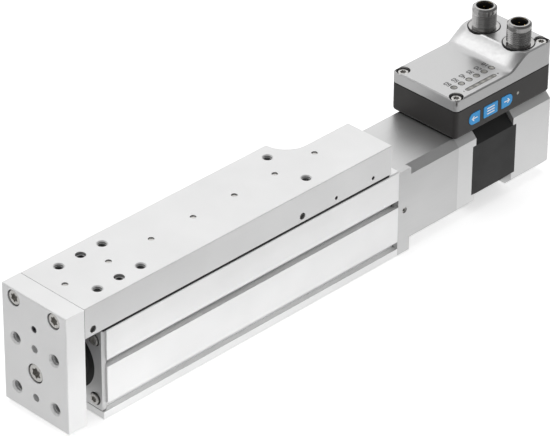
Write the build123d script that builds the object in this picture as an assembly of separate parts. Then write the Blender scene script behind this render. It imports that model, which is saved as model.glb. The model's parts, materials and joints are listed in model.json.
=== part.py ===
from build123d import *
import os
from math import atan, degrees, pi, radians, sqrt, tan

# Miniature linear slide with a screw drive, a stepper motor and a control box.
# Frame: X runs from the yoke (front, -X) to the motor (rear, +X), Z is up.
# The origin is the centre of the housing profile's mounting face.
# All sizes are in millimetres.

# Driving sizes of the whole slide
overall_height = 63.0        # mounting face to the table's top
body_width = 42.4            # housing profile and drive housing
housing_length = 189.0
screw_axis_drop = 22.3       # housing's top to the ball screw and motor axis
stroke = 100.0

# Hole grids for fastening loads
grid_x = 26.0
grid_y = 25.0
grid_z = 26.0
thread_r = 2.1               # tapping radius of the 5 mm threads
thread_sink = 0.55
thread_depth = 9.0
pin_hole_r = 2.0
pin_hole_depth = 5.0
sleeve_r = 2.5               # centring sleeve seats
sleeve_depth = 1.3
sleeve_core_r = 1.65
sleeve_core_depth = 6.0

# Clearances
fit_gap = 0.05               # running fit of rods and bushes, radial
seat_gap = 0.3               # visible gap between neighbouring castings
work_gap = 0.5               # gap that keeps moving pieces apart
overshoot = 1.0              # how far a cutting solid runs past a face

# Table
table_inset = 0.4            # table's side to the housing's side
table_height = 15.4
skirt_gap = 0.8              # dark line between table and housing
table_rear_setback = 5.1     # table's rear end to the housing's rear end
notch_width = 13.0
notch_length = 28.0          # straight part of the cut-back at the rear
notch_r = 13.0
channel_width = 22.0         # underside channel over the guide blocks
channel_depth = 2.6
side_port_r = 1.75
side_port_rise = 3.1         # port centre above the table's lower face
side_port_depth = 4.0
side_pin_r = 0.95
side_port_first = 4.8        # yoke's rear face to the first port
side_port_steps = 5          # grid pitches between the ports
grid_first = 15.4            # yoke's rear face to the first threads
sensor_hole_pitch = 24.5
sensor_hole_end = 12.25

# Yoke plate
yoke_thickness = 11.2
yoke_gap = 9.8               # yoke's rear face to the housing, slide in
yoke_lift = 1.6              # yoke's lower edge above the mounting face
yoke_edge_r = 0.5
seam_edge = 0.2              # broken edges where the yoke meets the table
yoke_screw_y = 12.9
yoke_screw_drop = 4.6        # screw centre below the table's top
yoke_thread_r = 2.5
yoke_thread_sink = 0.9
jack_hole_r = 1.7
jack_hole_drop = 15.0

# Housing profile
flange_height = 3.8
flange_reach = 2.5           # the base reaches forward under the front cover
top_edge_chamfer = 0.6
bore_r = 14.5
trough_width = 24.0
trough_depth = 5.2
slot_mouth = 3.9
slot_lip = 1.9
slot_inner = 6.4
slot_depth = 4.6
slot_rise = 4.4              # slot centre above the screw axis
groove_mouth = 3.9
groove_depth = 3.0
base_hole_x = 65.0
base_pin_x = 52.0

# Front cover
cover_inset = 1.0
cover_screw_pitch = 31.5
wiper_r = 15.5
wiper_lip = 0.8

# Guide rail and blocks
rail_width = 9.0
rail_height = 6.5
rail_sink = 3.4              # depth of the rail seat in the table
rail_groove_r = 0.9
rail_screw_first = 7.6       # yoke's rear face to the first rail screw
rail_screw_count = 7
rail_end_margin = 5.8
rail_tail = 17.0
rail_groove_z = 2.9          # ball grooves above the rail's lower face
block_length = 22.0
block_width = 20.0
block_height = 8.0
block_cap_length = 3.4
block_pitch = 29.5           # front block to rear block
block_first = 17.5           # housing front to the front block
block_screw_x = 10.0
block_screw_y = 15.0
block_screw_sink = 1.4       # screw seats above the bore's roof

# Screws: shank radius, head radius, head height
m3 = (1.5, 2.75, 2.2)
m4 = (2.0, 3.6, 3.6)
m6 = (3.0, 4.4, 5.0)
box_screw = (1.0, 2.6, 2.1)
head_gap = 0.45              # counterbore wall around a screw head
head_edge = 0.25
socket_share = 0.56          # six-lobe socket over the head radius
socket_depth_share = 0.5
shank_gap = 0.15

# Push rod, nut and ball screw
rod_r = 10.0
rod_bore_r = 7.0
rod_plug_length = 14.0
bush_length = 12.0
buffer_length = 5.0
buffer_r = 8.0
nut_length = 34.0
nut_r = 11.5
nut_flange_r = 13.6
nut_flange_length = 6.0
nut_collar_length = 8.0
return_tube_r = 1.3
magnet_length = 5.0
magnet_wall = 1.4
screw_r = 5.0
screw_lead = 10.0
screw_groove_r = 1.1         # ball groove's section
screw_groove_bite = 0.75     # depth of the ball groove
screw_tail = 2.0             # screw beyond the nut with the slide out
journal_r = 4.0
stub_r = 3.0

# Drive housing with bearing and coupling
drive_length = 41.3
drive_foot_length = 8.2
frame_chamfer = 3.7
shoulder_length = 2.5
shoulder_r = 9.0
bearing_r = 11.0
bearing_width = 14.0
bearing_inner_r = 6.0
bearing_ball_r = 1.4
bearing_ball_count = 9
bearing_row_inset = 3.8
bearing_ring_wall = 2.0
retainer_length = 3.0
retainer_bore_r = 7.6
lock_nut_r = 6.6
cavity_r = 12.5
drive_screw_y = 34.8
drive_screw_z = 22.0
drive_screw_seat = 8.0
side_screw_x = 4.4
side_screw_drop = 1.0
coupling_r = 9.5
coupling_gap = 2.0           # bearing retainer to the front hub
coupling_jaw_length = 5.0
coupling_end_gap = 0.8
jaw_angle = 58.0
spider_bore_r = 3.2
jaw_root_r = 5.2
spider_gap = 0.05

# Stepper motor
motor_inset = 0.05           # motor's side to the drive housing's side
motor_bolt_pitch = 31.0
motor_pilot_r = 11.0
motor_pilot_length = 2.0
motor_shaft_r = 2.5
motor_flange_length = 10.2
motor_stack_length = 30.8
motor_rear_length = 25.4
stack_chamfer = 7.6
lug_reach = 2.2              # corner lugs of both bells beside the stack
rear_edge_r = 1.6
stator_bore_r = 12.0
rotor_gap = 0.3
rotor_teeth = 25
rotor_tooth_depth = 0.7
pole_count = 8
pole_slot_width = 2.6
pole_slot_depth = 4.2
winding_reach = 3.0
motor_bearing_r = 6.5
motor_bearing_width = 4.0
magnet_disc_r = 4.0
magnet_disc_length = 2.5
encoder_board_size = 33.0
encoder_post_inset = 2.0
board_thickness = 1.6
rear_cap_length = 2.4

# Control box
box_length = 67.3
box_front = 39.8             # housing's rear end to the box's front face
box_inset = 0.3              # box's side to the motor's side
box_shift_y = 0.8
box_base_height = 15.2
box_wall = 2.0
box_corner_r = 2.2
box_foot_r = 2.0
inner_round_share = 0.5      # how fast the corner radius shrinks with the inset
cover_band = 6.0
cover_rise = 6.7
platform_length = 20.0
platform_corner_r = 8.0      # the platform's front corners in plan
platform_overhang = 1.5      # how far those corners' sides lie outside the box
ramp_length = 9.4
ramp_foot_r = 6.5
ramp_head_r = 3.2
cover_edge = 0.7
gasket_height = 0.5
box_screw_inset = 3.7
box_pocket_r = 3.5
box_pocket_depth = 3.0
box_slit_width = 0.8
box_post_r = 3.2
board_lift = 5.2
board_inset = 3.4            # board edge to the box outline
board_post_inset = 20.0

# Round connectors on the platform
connector_pitch = 22.3
connector_shift_y = 0.75
connector_inset = 13.4       # box's rear face to the connector axes
connector_height = 11.4
connector_r = 6.0
connector_root_r = 5.45
connector_bore_r = 4.3
connector_bore_depth = 7.5
insert_wall = 0.35
insert_floor = 1.2
connector_flange_r = 7.6
connector_flange_proud = 0.25
connector_seat_r = 8.15
connector_seat_depth = 0.9
connector_neck = 1.4
connector_collar = 2.6
connector_lead = 0.9         # bevel at the mouth
connector_thread_pitch = 1.0
connector_tail = 7.0
connector_tail_r = 5.0
pin_circle_r = 2.75
contact_r = 0.5
contact_proud = 5.6          # pins above the cavity's floor
contact_count = 4
key_rib = 0.9

# Lights and keys
led_r = 1.45
lens_gap = 0.12              # dark rim round each lens
led_pitch = 5.3
led_count = 6
led_first = 9.0
led_inset = 10.1             # box's near side to the lights
bar_length = 20.5
bar_width = 1.9
bar_first = 11.4
bar_inset = 4.3              # box's near side to the light bar
key_height = 6.3
key_rise = 7.4               # key centre above the box's lower face
key_travel = 0.35
key_proud = 0.15
key_depth = 1.4
key_gap = 0.2
key_centres = (13.1, 24.5, 36.0)
key_widths = (7.5, 9.8, 7.7)
key_end_r = 2.9
key_square_r = 0.5
port_led_x = 43.9
port_led_rise = 8.4
port_led_r = 0.8
dome_r = 2.2
dome_height = 0.9

# Planes and axes that follow from the sizes
front_x = -housing_length / 2
rear_x = housing_length / 2
body_half = body_width / 2
table_half = body_half - table_inset
table_bottom = overall_height - table_height
body_top = table_bottom - skirt_gap
screw_axis_z = body_top - screw_axis_drop
slot_z = screw_axis_z + slot_rise
side_port_z = table_bottom + side_port_rise
trough_floor = body_top - trough_depth
yoke_rear = front_x - yoke_gap
yoke_front = yoke_rear - yoke_thickness
table_rear = rear_x - table_rear_setback
rail_top = table_bottom + rail_sink
rail_bottom = rail_top - rail_height
profile_front = front_x + flange_reach
drive_rear = rear_x + drive_length
stack_front = drive_rear + motor_flange_length
stack_rear = stack_front + motor_stack_length
motor_rear = stack_rear + motor_rear_length
motor_size = body_width - 2 * motor_inset
box_width = motor_size - 2 * box_inset
box_x0 = rear_x + box_front
box_x1 = box_x0 + box_length
box_y0 = box_shift_y - box_width / 2
box_y1 = box_shift_y + box_width / 2
box_z0 = screw_axis_z + body_half
box_z1 = box_z0 + box_base_height
key_z = box_z0 + key_rise
port_led_z = box_z0 + port_led_rise
cover_z0 = box_z1 + gasket_height
cover_z1 = cover_z0 + cover_band
platform_z = cover_z1 + cover_rise
nut_rear = rear_x - buffer_length - work_gap
nut_front = nut_rear - nut_length
block_xs = [front_x + block_first + k * block_pitch + block_length / 2 for k in (0, 1)]
rail_screw_xs = [yoke_rear + rail_screw_first + k * grid_x for k in range(rail_screw_count)]
top_hole_xs = [yoke_rear + grid_first + k * grid_x for k in (0, 1, 5)]
connector_x = box_x1 - connector_inset
led_y = box_y0 + led_inset
bar_y = box_y0 + bar_inset
connector_ys = [connector_shift_y + side * connector_pitch / 2 for side in (-1, 1)]
box_screw_points = [
    (x, y)
    for x in (box_x0 + box_screw_inset, box_x1 - box_screw_inset)
    for y in (box_y0 + box_screw_inset, box_y1 - box_screw_inset)
]
bearing_x = rear_x + shoulder_length
coupling_x = bearing_x + bearing_width + retainer_length + coupling_gap
coupling_length = drive_rear - motor_pilot_length - coupling_end_gap - coupling_x
screw_front = nut_front - stroke - screw_tail


def block(x0, x1, y0, y1, z0, z1):
    """A cuboid between the given planes."""
    centre = Pos((x0 + x1) / 2, (y0 + y1) / 2, (z0 + z1) / 2)
    return centre * Box(x1 - x0, y1 - y0, z1 - z0)


def rod_x(x0, x1, r, y=0.0, z=screw_axis_z):
    """A cylinder along X from x0 to x1."""
    low = (Align.CENTER, Align.CENTER, Align.MIN)
    return Pos(x0, y, z) * Rot(0, 90, 0) * Cylinder(r, x1 - x0, align=low)


def rod_y(y0, y1, r, x, z):
    """A cylinder along Y from y0 to y1."""
    low = (Align.CENTER, Align.CENTER, Align.MIN)
    return Pos(x, y0, z) * Rot(-90, 0, 0) * Cylinder(r, y1 - y0, align=low)


def rod_z(z0, z1, r, x, y):
    """A cylinder along Z from z0 to z1."""
    low = (Align.CENTER, Align.CENTER, Align.MIN)
    return Pos(x, y, z0) * Cylinder(r, z1 - z0, align=low)


def cone_z(z0, z1, r0, r1, x, y):
    """A cone along Z, r0 at z0 and r1 at z1."""
    low = (Align.CENTER, Align.CENTER, Align.MIN)
    return Pos(x, y, z0) * Cone(r0, r1, z1 - z0, align=low)


def ring_x(x0, x1, outer, inner):
    """A round ring on the screw axis."""
    return rod_x(x0, x1, outer) - rod_x(x0, x1, inner)


def rect(u0, u1, v0, v1):
    """A rectangle between the given lines of a sketch."""
    return Pos((u0 + u1) / 2, (v0 + v1) / 2) * Rectangle(u1 - u0, v1 - v0)


def along_x(sketch, x0, x1):
    """Extrudes a section drawn in the YZ plane from x0 to x1."""
    return extrude(Plane.YZ.offset(x0) * sketch, amount=x1 - x0)


def tapped_hole(r, depth, sink):
    """A cutting solid that goes down from the origin, with a countersunk mouth."""
    return rod_z(-depth, overshoot, r, 0, 0) + cone_z(-sink, overshoot, r, r + sink + overshoot, 0, 0)


def screw(size, length):
    """A cylinder-head screw: the head stands on the origin, the shank goes down."""
    shank_r, head_r, head_h = size
    head = rod_z(0, head_h, head_r, 0, 0)
    head = chamfer(head.edges().group_by(Axis.Z)[-1], head_edge)
    reach = socket_share * head_r
    lobe_r = reach / 4
    socket = Circle(reach - lobe_r / 2)
    socket += PolarLocations(reach - lobe_r / 2, 6) * Circle(lobe_r)
    depth = socket_depth_share * head_h
    head -= extrude(Pos(0, 0, head_h - depth) * socket, amount=depth + overshoot)
    return head + rod_z(-length, 0, shank_r, 0, 0)


def screw_pocket(size, depth, length):
    """The cutting solid for a screw: counterbore up from the origin, clearance hole down."""
    shank_r, head_r, head_h = size
    return rod_z(0, depth, head_r + head_gap, 0, 0) + rod_z(-length, 0, shank_r + shank_gap, 0, 0)


facing_front = Rot(0, -90, 0)    # turns +Z to -X
facing_rear = Rot(0, 90, 0)      # turns +Z to +X
facing_down = Rot(180, 0, 0)     # turns +Z to -Z


# Slide table
def slide_table():
    body = block(yoke_rear, table_rear, -table_half, table_half, table_bottom, overall_height)
    # the cut-back at the rear on the far side, with its quarter-round corner
    notch_x = table_rear - notch_length - notch_r
    cut = rect(notch_x, table_rear + overshoot, table_half - notch_width, table_half + notch_r)
    cut = fillet(cut.vertices().sort_by(lambda v: v.X + v.Y)[0], notch_r)
    body -= extrude(Pos(0, 0, table_bottom - overshoot) * cut, amount=table_height + 2 * overshoot)
    half_channel = channel_width / 2
    body -= block(
        yoke_rear - overshoot, table_rear + overshoot, -half_channel, half_channel,
        table_bottom - overshoot, table_bottom + channel_depth,
    )
    rail_x0 = rail_screw_xs[0] - rail_end_margin
    rail_x1 = rail_screw_xs[-1] + rail_tail
    body -= block(
        rail_x0, rail_x1, -rail_width / 2, rail_width / 2,
        table_bottom - overshoot, rail_top,
    )
    body = chamfer(body.edges().filter_by(Axis.X).group_by(Axis.Z)[-1], yoke_edge_r / 2)
    for x in rail_screw_xs:
        body -= rod_z(rail_top - overshoot, overall_height + overshoot, m3[0], x, 0)
    for x in top_hole_xs:
        for y in (-grid_y / 2, grid_y / 2):
            body -= Pos(x, y, overall_height) * tapped_hole(thread_r, thread_depth, thread_sink)
    for y in (-grid_y / 2, grid_y / 2):
        x = top_hole_xs[0] + grid_x / 2
        body -= rod_z(overall_height - sleeve_depth, overall_height + overshoot, sleeve_r, x, y)
        body -= rod_z(overall_height - sleeve_core_depth, overall_height, sleeve_core_r, x, y)
    for x in side_port_xs():
        body -= rod_y(-table_half - overshoot, side_port_depth - table_half, side_port_r, x, side_port_z)
        body -= rod_y(table_half - side_port_depth, table_half + overshoot, side_port_r, x, side_port_z)
    for x in (table_rear - sensor_hole_end, table_rear - sensor_hole_end - sensor_hole_pitch):
        body -= rod_y(-table_half - overshoot, side_port_depth - table_half, side_pin_r, x, side_port_z)
    for y in (-yoke_screw_y, yoke_screw_y):
        z = overall_height - yoke_screw_drop
        body -= rod_x(yoke_rear - overshoot, yoke_rear + thread_depth, m4[0], y, z)
    return body


def side_port_xs():
    """Lubrication ports: one near the yoke, one five pitches behind."""
    first = yoke_rear + side_port_first
    return (first, first + side_port_steps * grid_x)


def side_plugs():
    """Threaded plugs at the floor of the lubrication ports."""
    plugs = Part()
    for x in side_port_xs():
        for side in (-1, 1):
            inner = side * (table_half - side_port_depth)
            outer = side * (table_half - side_port_depth / 3)
            plugs += rod_y(min(inner, outer), max(inner, outer), side_port_r, x, side_port_z)
    return plugs


# Yoke plate
def yoke_plate():
    body = block(yoke_front, yoke_rear, -table_half, table_half, yoke_lift, overall_height)
    body = chamfer(body.edges().group_by(Axis.X)[0], yoke_edge_r)
    body = chamfer(body.edges().group_by(Axis.X)[-1], seam_edge)
    head_z = overall_height - yoke_screw_drop
    for y in (-yoke_screw_y, yoke_screw_y):
        pocket = facing_front * screw_pocket(m4, m4[2] + overshoot, yoke_thickness)
        body -= Pos(yoke_front + m4[2] + work_gap, y, head_z) * pocket
    rod_pocket = facing_front * screw_pocket(m6, m6[2] + overshoot, yoke_thickness)
    body -= Pos(yoke_front + m6[2] + work_gap, 0, screw_axis_z) * rod_pocket
    thread = facing_front * tapped_hole(yoke_thread_r, yoke_thickness + overshoot, yoke_thread_sink)
    for y in (-grid_y / 2, grid_y / 2):
        for z in (screw_axis_z - grid_z / 2, screw_axis_z + grid_z / 2):
            body -= Pos(yoke_front, y, z) * thread
    for z in (screw_axis_z - grid_z / 2, screw_axis_z + grid_z / 2):
        body -= rod_x(yoke_front - overshoot, yoke_front + pin_hole_depth, pin_hole_r, 0, z)
    jack_z = overall_height - jack_hole_drop
    body -= rod_x(yoke_front - overshoot, yoke_rear + overshoot, jack_hole_r, 0, jack_z)
    return body


def yoke_screws():
    screws = Part()
    seat_x = yoke_front + m4[2] + work_gap
    length = yoke_rear - seat_x + thread_depth - work_gap
    for y in (-yoke_screw_y, yoke_screw_y):
        place = Pos(seat_x, y, overall_height - yoke_screw_drop) * facing_front
        screws += place * screw(m4, length)
    return screws


def rod_screw():
    seat_x = yoke_front + m6[2] + work_gap
    length = yoke_rear - seat_x + rod_plug_length - 2 * work_gap
    return Pos(seat_x, 0, screw_axis_z) * facing_front * screw(m6, length)


def push_rod():
    """Hollow rod from the yoke to the nut, with a threaded plug at the front."""
    body = ring_x(yoke_rear, nut_front, rod_r, rod_bore_r)
    body += rod_x(yoke_rear, yoke_rear + rod_plug_length, rod_bore_r)
    body -= rod_x(yoke_rear, yoke_rear + rod_plug_length, m6[0])
    edge = body.edges().filter_by(GeomType.CIRCLE).group_by(Axis.X)[0].sort_by(SortBy.RADIUS)[-1]
    return chamfer(edge, yoke_edge_r)


def ball_nut():
    """Nut with a front collar on the push rod, a flange and a magnet seat."""
    body = rod_x(nut_front, nut_rear, nut_r)
    body += rod_x(nut_rear - nut_flange_length, nut_rear, nut_flange_r)
    body -= rod_x(nut_front, nut_rear, screw_r + fit_gap)
    groove_x = nut_rear - nut_flange_length - work_gap - magnet_length
    body -= ring_x(groove_x, groove_x + magnet_length, nut_r + overshoot, nut_r - magnet_wall / 2)
    for side in (-1, 1):
        z = screw_axis_z + side * (nut_r - return_tube_r)
        body -= rod_x(nut_front + nut_collar_length, groove_x - work_gap, return_tube_r, 0, z)
        body -= block(
            nut_front + nut_collar_length, groove_x - work_gap, -return_tube_r, return_tube_r,
            min(z, z + side * nut_r), max(z, z + side * nut_r),
        )
    return body


def nut_return_tubes():
    """The two tubes that lead the balls back along the nut."""
    tubes = Part()
    groove_x = nut_rear - nut_flange_length - work_gap - magnet_length
    for side in (-1, 1):
        z = screw_axis_z + side * (nut_r - return_tube_r)
        tubes += rod_x(nut_front + nut_collar_length, groove_x - work_gap, return_tube_r, 0, z)
    return tubes


def sensing_magnet():
    """Magnet ring on the nut that the slot sensors read."""
    groove_x = nut_rear - nut_flange_length - work_gap - magnet_length
    return ring_x(groove_x, groove_x + magnet_length, nut_r + magnet_wall / 2, nut_r - magnet_wall / 2)


# Guide rail, rail screws and the guide blocks
def rail_section():
    half = rail_width / 2
    section = rect(-half, half, rail_bottom, rail_top)
    for side in (-1, 1):
        section -= Pos(side * half, rail_bottom + rail_groove_z) * Circle(rail_groove_r)
    return section


def guide_rail():
    x0 = rail_screw_xs[0] - rail_end_margin
    x1 = rail_screw_xs[-1] + rail_tail
    body = along_x(rail_section(), x0, x1)
    for x in rail_screw_xs:
        seat = Pos(x, 0, rail_bottom + m3[2] + work_gap) * facing_down
        body -= seat * screw_pocket(m3, m3[2] + overshoot, rail_height)
    return body


def rail_screws():
    screws = Part()
    seat_z = rail_bottom + m3[2] + work_gap
    for x in rail_screw_xs:
        screws += Pos(x, 0, seat_z) * facing_down * screw(m3, overall_height - work_gap - seat_z)
    return screws


def guide_blocks():
    """Two steel blocks in the trough that wrap the rail from below."""
    bodies = Part()
    half = block_width / 2
    top = trough_floor + block_height
    for x in block_xs:
        x0 = x - block_length / 2
        section = rect(-half, half, trough_floor, top)
        slot_half = rail_width / 2 + seat_gap
        section -= rect(-slot_half, slot_half, rail_bottom - work_gap, top + overshoot)
        one = along_x(section, x0, x0 + block_length)
        for side in (-1, 1):
            one = chamfer(
                one.edges().filter_by(Axis.X).sort_by(Axis.Y)[-1 if side > 0 else 0], seat_gap
            )
        for dx in (-block_screw_x / 2, block_screw_x / 2):
            for y in (-block_screw_y / 2, block_screw_y / 2):
                one -= rod_z(trough_floor - overshoot, top - overshoot, m3[0], x + dx, y)
        bodies += one
    return bodies


def block_end_caps():
    """Plastic return caps on both ends of each guide block."""
    caps = Part()
    half = block_width / 2 - seat_gap
    top = trough_floor + block_height - seat_gap
    slot_half = rail_width / 2 + seat_gap
    section = rect(-half, half, trough_floor + seat_gap, top)
    section -= rect(-slot_half, slot_half, rail_bottom - work_gap, top + overshoot)
    for x in block_xs:
        half_length = block_length / 2
        caps += along_x(section, x - half_length - block_cap_length, x - half_length)
        caps += along_x(section, x + half_length, x + half_length + block_cap_length)
    return caps


def block_screw_seat(y):
    """Height of the screw seats in the bore's roof at a distance y from the axis."""
    return screw_axis_z + sqrt(bore_r**2 - y**2) + block_screw_sink


def block_screws():
    screws = Part()
    for x in block_xs:
        for dx in (-block_screw_x / 2, block_screw_x / 2):
            for y in (-block_screw_y / 2, block_screw_y / 2):
                seat = block_screw_seat(y)
                length = trough_floor + block_height - 2 * overshoot - seat
                screws += Pos(x + dx, y, seat) * facing_down * screw(m3, length)
    return screws


# Housing profile
def housing_section():
    """Section of the extruded housing: bore, rail trough and two slots on each side."""
    section = rect(-body_half, body_half, 0, body_top)
    top_corners = section.vertices().group_by(Axis.Y)[-1]
    section = chamfer(top_corners, top_edge_chamfer)
    section -= rect(-trough_width / 2, trough_width / 2, trough_floor, body_top + overshoot)
    section -= Pos(0, screw_axis_z) * Circle(bore_r)
    for side in (-1, 1):
        face = side * (body_half + overshoot)
        floor = side * (body_half - slot_depth)
        lip = side * (body_half - slot_lip)
        mouth = slot_mouth / 2
        section -= rect(min(face, floor), max(face, floor), slot_z - mouth, slot_z + mouth)
        section -= rect(min(lip, floor), max(lip, floor), slot_z - slot_inner / 2, slot_z + slot_inner / 2)
        groove = side * (body_half - groove_depth)
        section -= rect(min(face, groove), max(face, groove), flange_height, flange_height + groove_mouth)
    return section


def housing_profile():
    body = along_x(housing_section(), profile_front, rear_x)
    body += block(front_x, profile_front, -body_half, body_half, 0, flange_height)
    corner = cover_screw_pitch / 2
    for y in (-corner, corner):
        for z in (screw_axis_z - corner, screw_axis_z + corner):
            body -= rod_x(profile_front - overshoot, profile_front + thread_depth, m3[0], y, z)
    for y in (-drive_screw_y / 2, drive_screw_y / 2):
        for z in (screw_axis_z - drive_screw_z / 2, screw_axis_z + drive_screw_z / 2):
            body -= rod_x(rear_x - thread_depth, rear_x + overshoot, m3[0], y, z)
    for x in block_xs:
        for dx in (-block_screw_x / 2, block_screw_x / 2):
            for y in (-block_screw_y / 2, block_screw_y / 2):
                seat = Pos(x + dx, y, block_screw_seat(y)) * facing_down
                body -= seat * screw_pocket(m3, screw_axis_z + bore_r + overshoot, block_height + overshoot)
    mouth = Rot(180, 0, 0) * tapped_hole(thread_r, thread_depth, thread_sink)
    for x in (-base_hole_x, base_hole_x):
        for y in (-grid_y / 2, grid_y / 2):
            body -= Pos(x, y, 0) * mouth
    for x in (-base_pin_x, base_pin_x):
        body -= rod_z(-overshoot, pin_hole_depth, pin_hole_r, x, 0)
    return body


# Front cover with the wiper and the bush of the push rod
def cover_screw_points():
    corner = cover_screw_pitch / 2
    return [(y, z) for y in (-corner, corner) for z in (screw_axis_z - corner, screw_axis_z + corner)]


def front_cover():
    half = body_half - cover_inset
    section = rect(-half, half, flange_height + seat_gap, body_top - seat_gap)
    section -= rect(-trough_width / 2, trough_width / 2, trough_floor, body_top + overshoot)
    section -= Pos(0, screw_axis_z) * Circle(wiper_r)
    body = along_x(section, front_x, profile_front)
    for y, z in cover_screw_points():
        seat_x = front_x + flange_reach / 2
        body -= Pos(seat_x, y, z) * facing_front * screw_pocket(m3, flange_reach, flange_reach)
    return body


def front_cover_screws():
    screws = Part()
    for y, z in cover_screw_points():
        seat_x = front_x + flange_reach / 2
        length = flange_reach / 2 + thread_depth - work_gap
        screws += Pos(seat_x, y, z) * facing_front * screw(m3, length)
    return screws


def rod_wiper():
    """Black wiper ring in the front cover, with a raised lip on the rod."""
    body = ring_x(front_x + seat_gap, profile_front, wiper_r, rod_r + fit_gap)
    lip = Cone(rod_r + wiper_lip, rod_r + 2 * wiper_lip, wiper_lip)
    lip = Pos(front_x + seat_gap - wiper_lip / 2, 0, screw_axis_z) * Rot(0, 90, 0) * lip
    return body + (lip - rod_x(front_x - overshoot * 2, profile_front, rod_r + fit_gap))


def rod_bush():
    """Plain bush that carries the push rod behind the wiper."""
    return ring_x(profile_front, profile_front + bush_length, bore_r, rod_r + fit_gap)


def stop_buffers():
    """Elastomer rings at both ends of the nut's travel."""
    front = nut_front - stroke - work_gap
    rings = ring_x(front - buffer_length, front, bore_r, rod_r + work_gap)
    return rings + ring_x(rear_x - buffer_length, rear_x, bore_r, buffer_r)


# Drive housing with the spindle bearing and the coupling
def frame_section(size, cut):
    """Square motor frame section on the screw axis with its corners cut."""
    half = size / 2
    section = rect(-half, half, screw_axis_z - half, screw_axis_z + half)
    return chamfer(section.vertices(), cut)


def drive_housing():
    foot_x = rear_x + drive_foot_length
    body = block(rear_x, foot_x, -body_half, body_half, 0, screw_axis_z + body_half)
    body += along_x(frame_section(body_width, frame_chamfer), foot_x, drive_rear)
    body -= rod_x(rear_x - overshoot, bearing_x, shoulder_r)
    body -= rod_x(bearing_x, drive_rear, bearing_r)
    body -= rod_x(bearing_x + bearing_width + retainer_length, drive_rear - motor_pilot_length, cavity_r)
    for y, z in drive_screw_points():
        seat = Pos(rear_x + drive_screw_seat, y, z) * facing_rear
        body -= seat * screw_pocket(m3, drive_length, drive_screw_seat + overshoot)
    for y, z in motor_screw_points():
        seat = Pos(drive_rear - drive_screw_seat, y, z) * facing_front
        body -= seat * screw_pocket(m3, drive_length, drive_screw_seat + overshoot)
    z = screw_axis_z - side_screw_drop
    body -= rod_y(-body_half - overshoot, 0, m3[0], rear_x + side_screw_x, z)
    return body


def drive_screw_points():
    return [
        (y, z)
        for y in (-drive_screw_y / 2, drive_screw_y / 2)
        for z in (screw_axis_z - drive_screw_z / 2, screw_axis_z + drive_screw_z / 2)
    ]


def motor_screw_points():
    half = motor_bolt_pitch / 2
    return [(y, z) for y in (-half, half) for z in (screw_axis_z - half, screw_axis_z + half)]


def drive_housing_screws():
    screws = Part()
    for y, z in drive_screw_points():
        length = drive_screw_seat + thread_depth - work_gap
        screws += Pos(rear_x + drive_screw_seat, y, z) * facing_rear * screw(m3, length)
    return screws


def bearing_set_screw():
    """Headless screw in the near side that locks the bearing's outer ring."""
    x = rear_x + side_screw_x
    z = screw_axis_z - side_screw_drop
    reach = sqrt(bearing_r**2 - side_screw_drop**2)
    body = rod_y(-body_half + work_gap, -reach - 2 * fit_gap, m3[0], x, z)
    hexagon = RegularPolygon(m3[0] * socket_share, 6)
    socket = extrude(Pos(x, -body_half + work_gap, z) * Rot(-90, 0, 0) * hexagon, amount=overshoot)
    return body - socket


def bearing_outer_ring():
    x1 = bearing_x + bearing_width
    return ring_x(bearing_x, x1, bearing_r, bearing_r - bearing_ring_wall)


def bearing_inner_ring():
    return ring_x(bearing_x, bearing_x + bearing_width, bearing_inner_r, journal_r)


def bearing_balls():
    """Two rows of balls that sit in the rings."""
    balls = Part()
    r = (bearing_r - bearing_ring_wall + bearing_inner_r) / 2
    for x in (bearing_x + bearing_row_inset, bearing_x + bearing_width - bearing_row_inset):
        for k in range(bearing_ball_count):
            turn = Rot(360 / bearing_ball_count * k, 0, 0)
            balls += Pos(x, 0, screw_axis_z) * turn * Pos(0, 0, r) * Sphere(bearing_ball_r)
    return balls


def bearing_retainer():
    """Threaded ring that clamps the outer ring, with two wrench slots."""
    x0 = bearing_x + bearing_width
    body = ring_x(x0, x0 + retainer_length, bearing_r, retainer_bore_r)
    half_slot = retainer_length / 2
    body -= block(
        x0 + half_slot, x0 + retainer_length + overshoot, -half_slot / 2, half_slot / 2,
        screw_axis_z - bearing_r, screw_axis_z + bearing_r,
    )
    return body


def spindle_lock_nut():
    x0 = bearing_x + bearing_width
    return ring_x(x0, x0 + retainer_length, lock_nut_r, journal_r)


# Spindle: ball screw, coupling, motor shaft and rotor
def ball_screw():
    """Screw shaft with its helical ball groove, bearing journal and coupling stub."""
    shaft = rod_x(screw_front, bearing_x, screw_r)
    shaft = chamfer(shaft.edges().filter_by(GeomType.CIRCLE).group_by(Axis.X)[0], yoke_edge_r)
    shaft += rod_x(bearing_x, bearing_x + bearing_width + retainer_length, journal_r)
    hub_end = coupling_x + (coupling_length - coupling_jaw_length) / 2
    shaft += rod_x(bearing_x, hub_end, stub_r)
    return shaft - ball_groove()


def ball_groove():
    """A round groove that winds along the screw's nut length and out at its front end."""
    path_r = screw_r + screw_groove_r - screw_groove_bite
    length = rear_x - screw_front + screw_lead
    path = Helix(pitch=screw_lead, height=length, radius=path_r)
    section = Plane(origin=path @ 0, z_dir=path % 0) * Circle(screw_groove_r)
    groove = sweep(section, path=path, is_frenet=True)
    return Pos(screw_front - screw_lead, 0, screw_axis_z) * Rot(0, 90, 0) * groove


def coupling_hub(front):
    """One half of the jaw coupling: a hub disc with two jaws."""
    disc_length = (coupling_length - coupling_jaw_length) / 2
    x0 = coupling_x if front else coupling_x + coupling_length - disc_length
    bore = stub_r if front else motor_shaft_r
    body = ring_x(x0, x0 + disc_length, coupling_r, bore)
    jaw_x0 = coupling_x + disc_length
    jaw = ring_x(jaw_x0, jaw_x0 + coupling_jaw_length, coupling_r, jaw_root_r)
    for k in (0, 1):
        turn = 180 * k + (0 if front else 90)
        wedge = jaw & jaw_wedge(jaw_x0, turn)
        body += wedge
    return body


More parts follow.
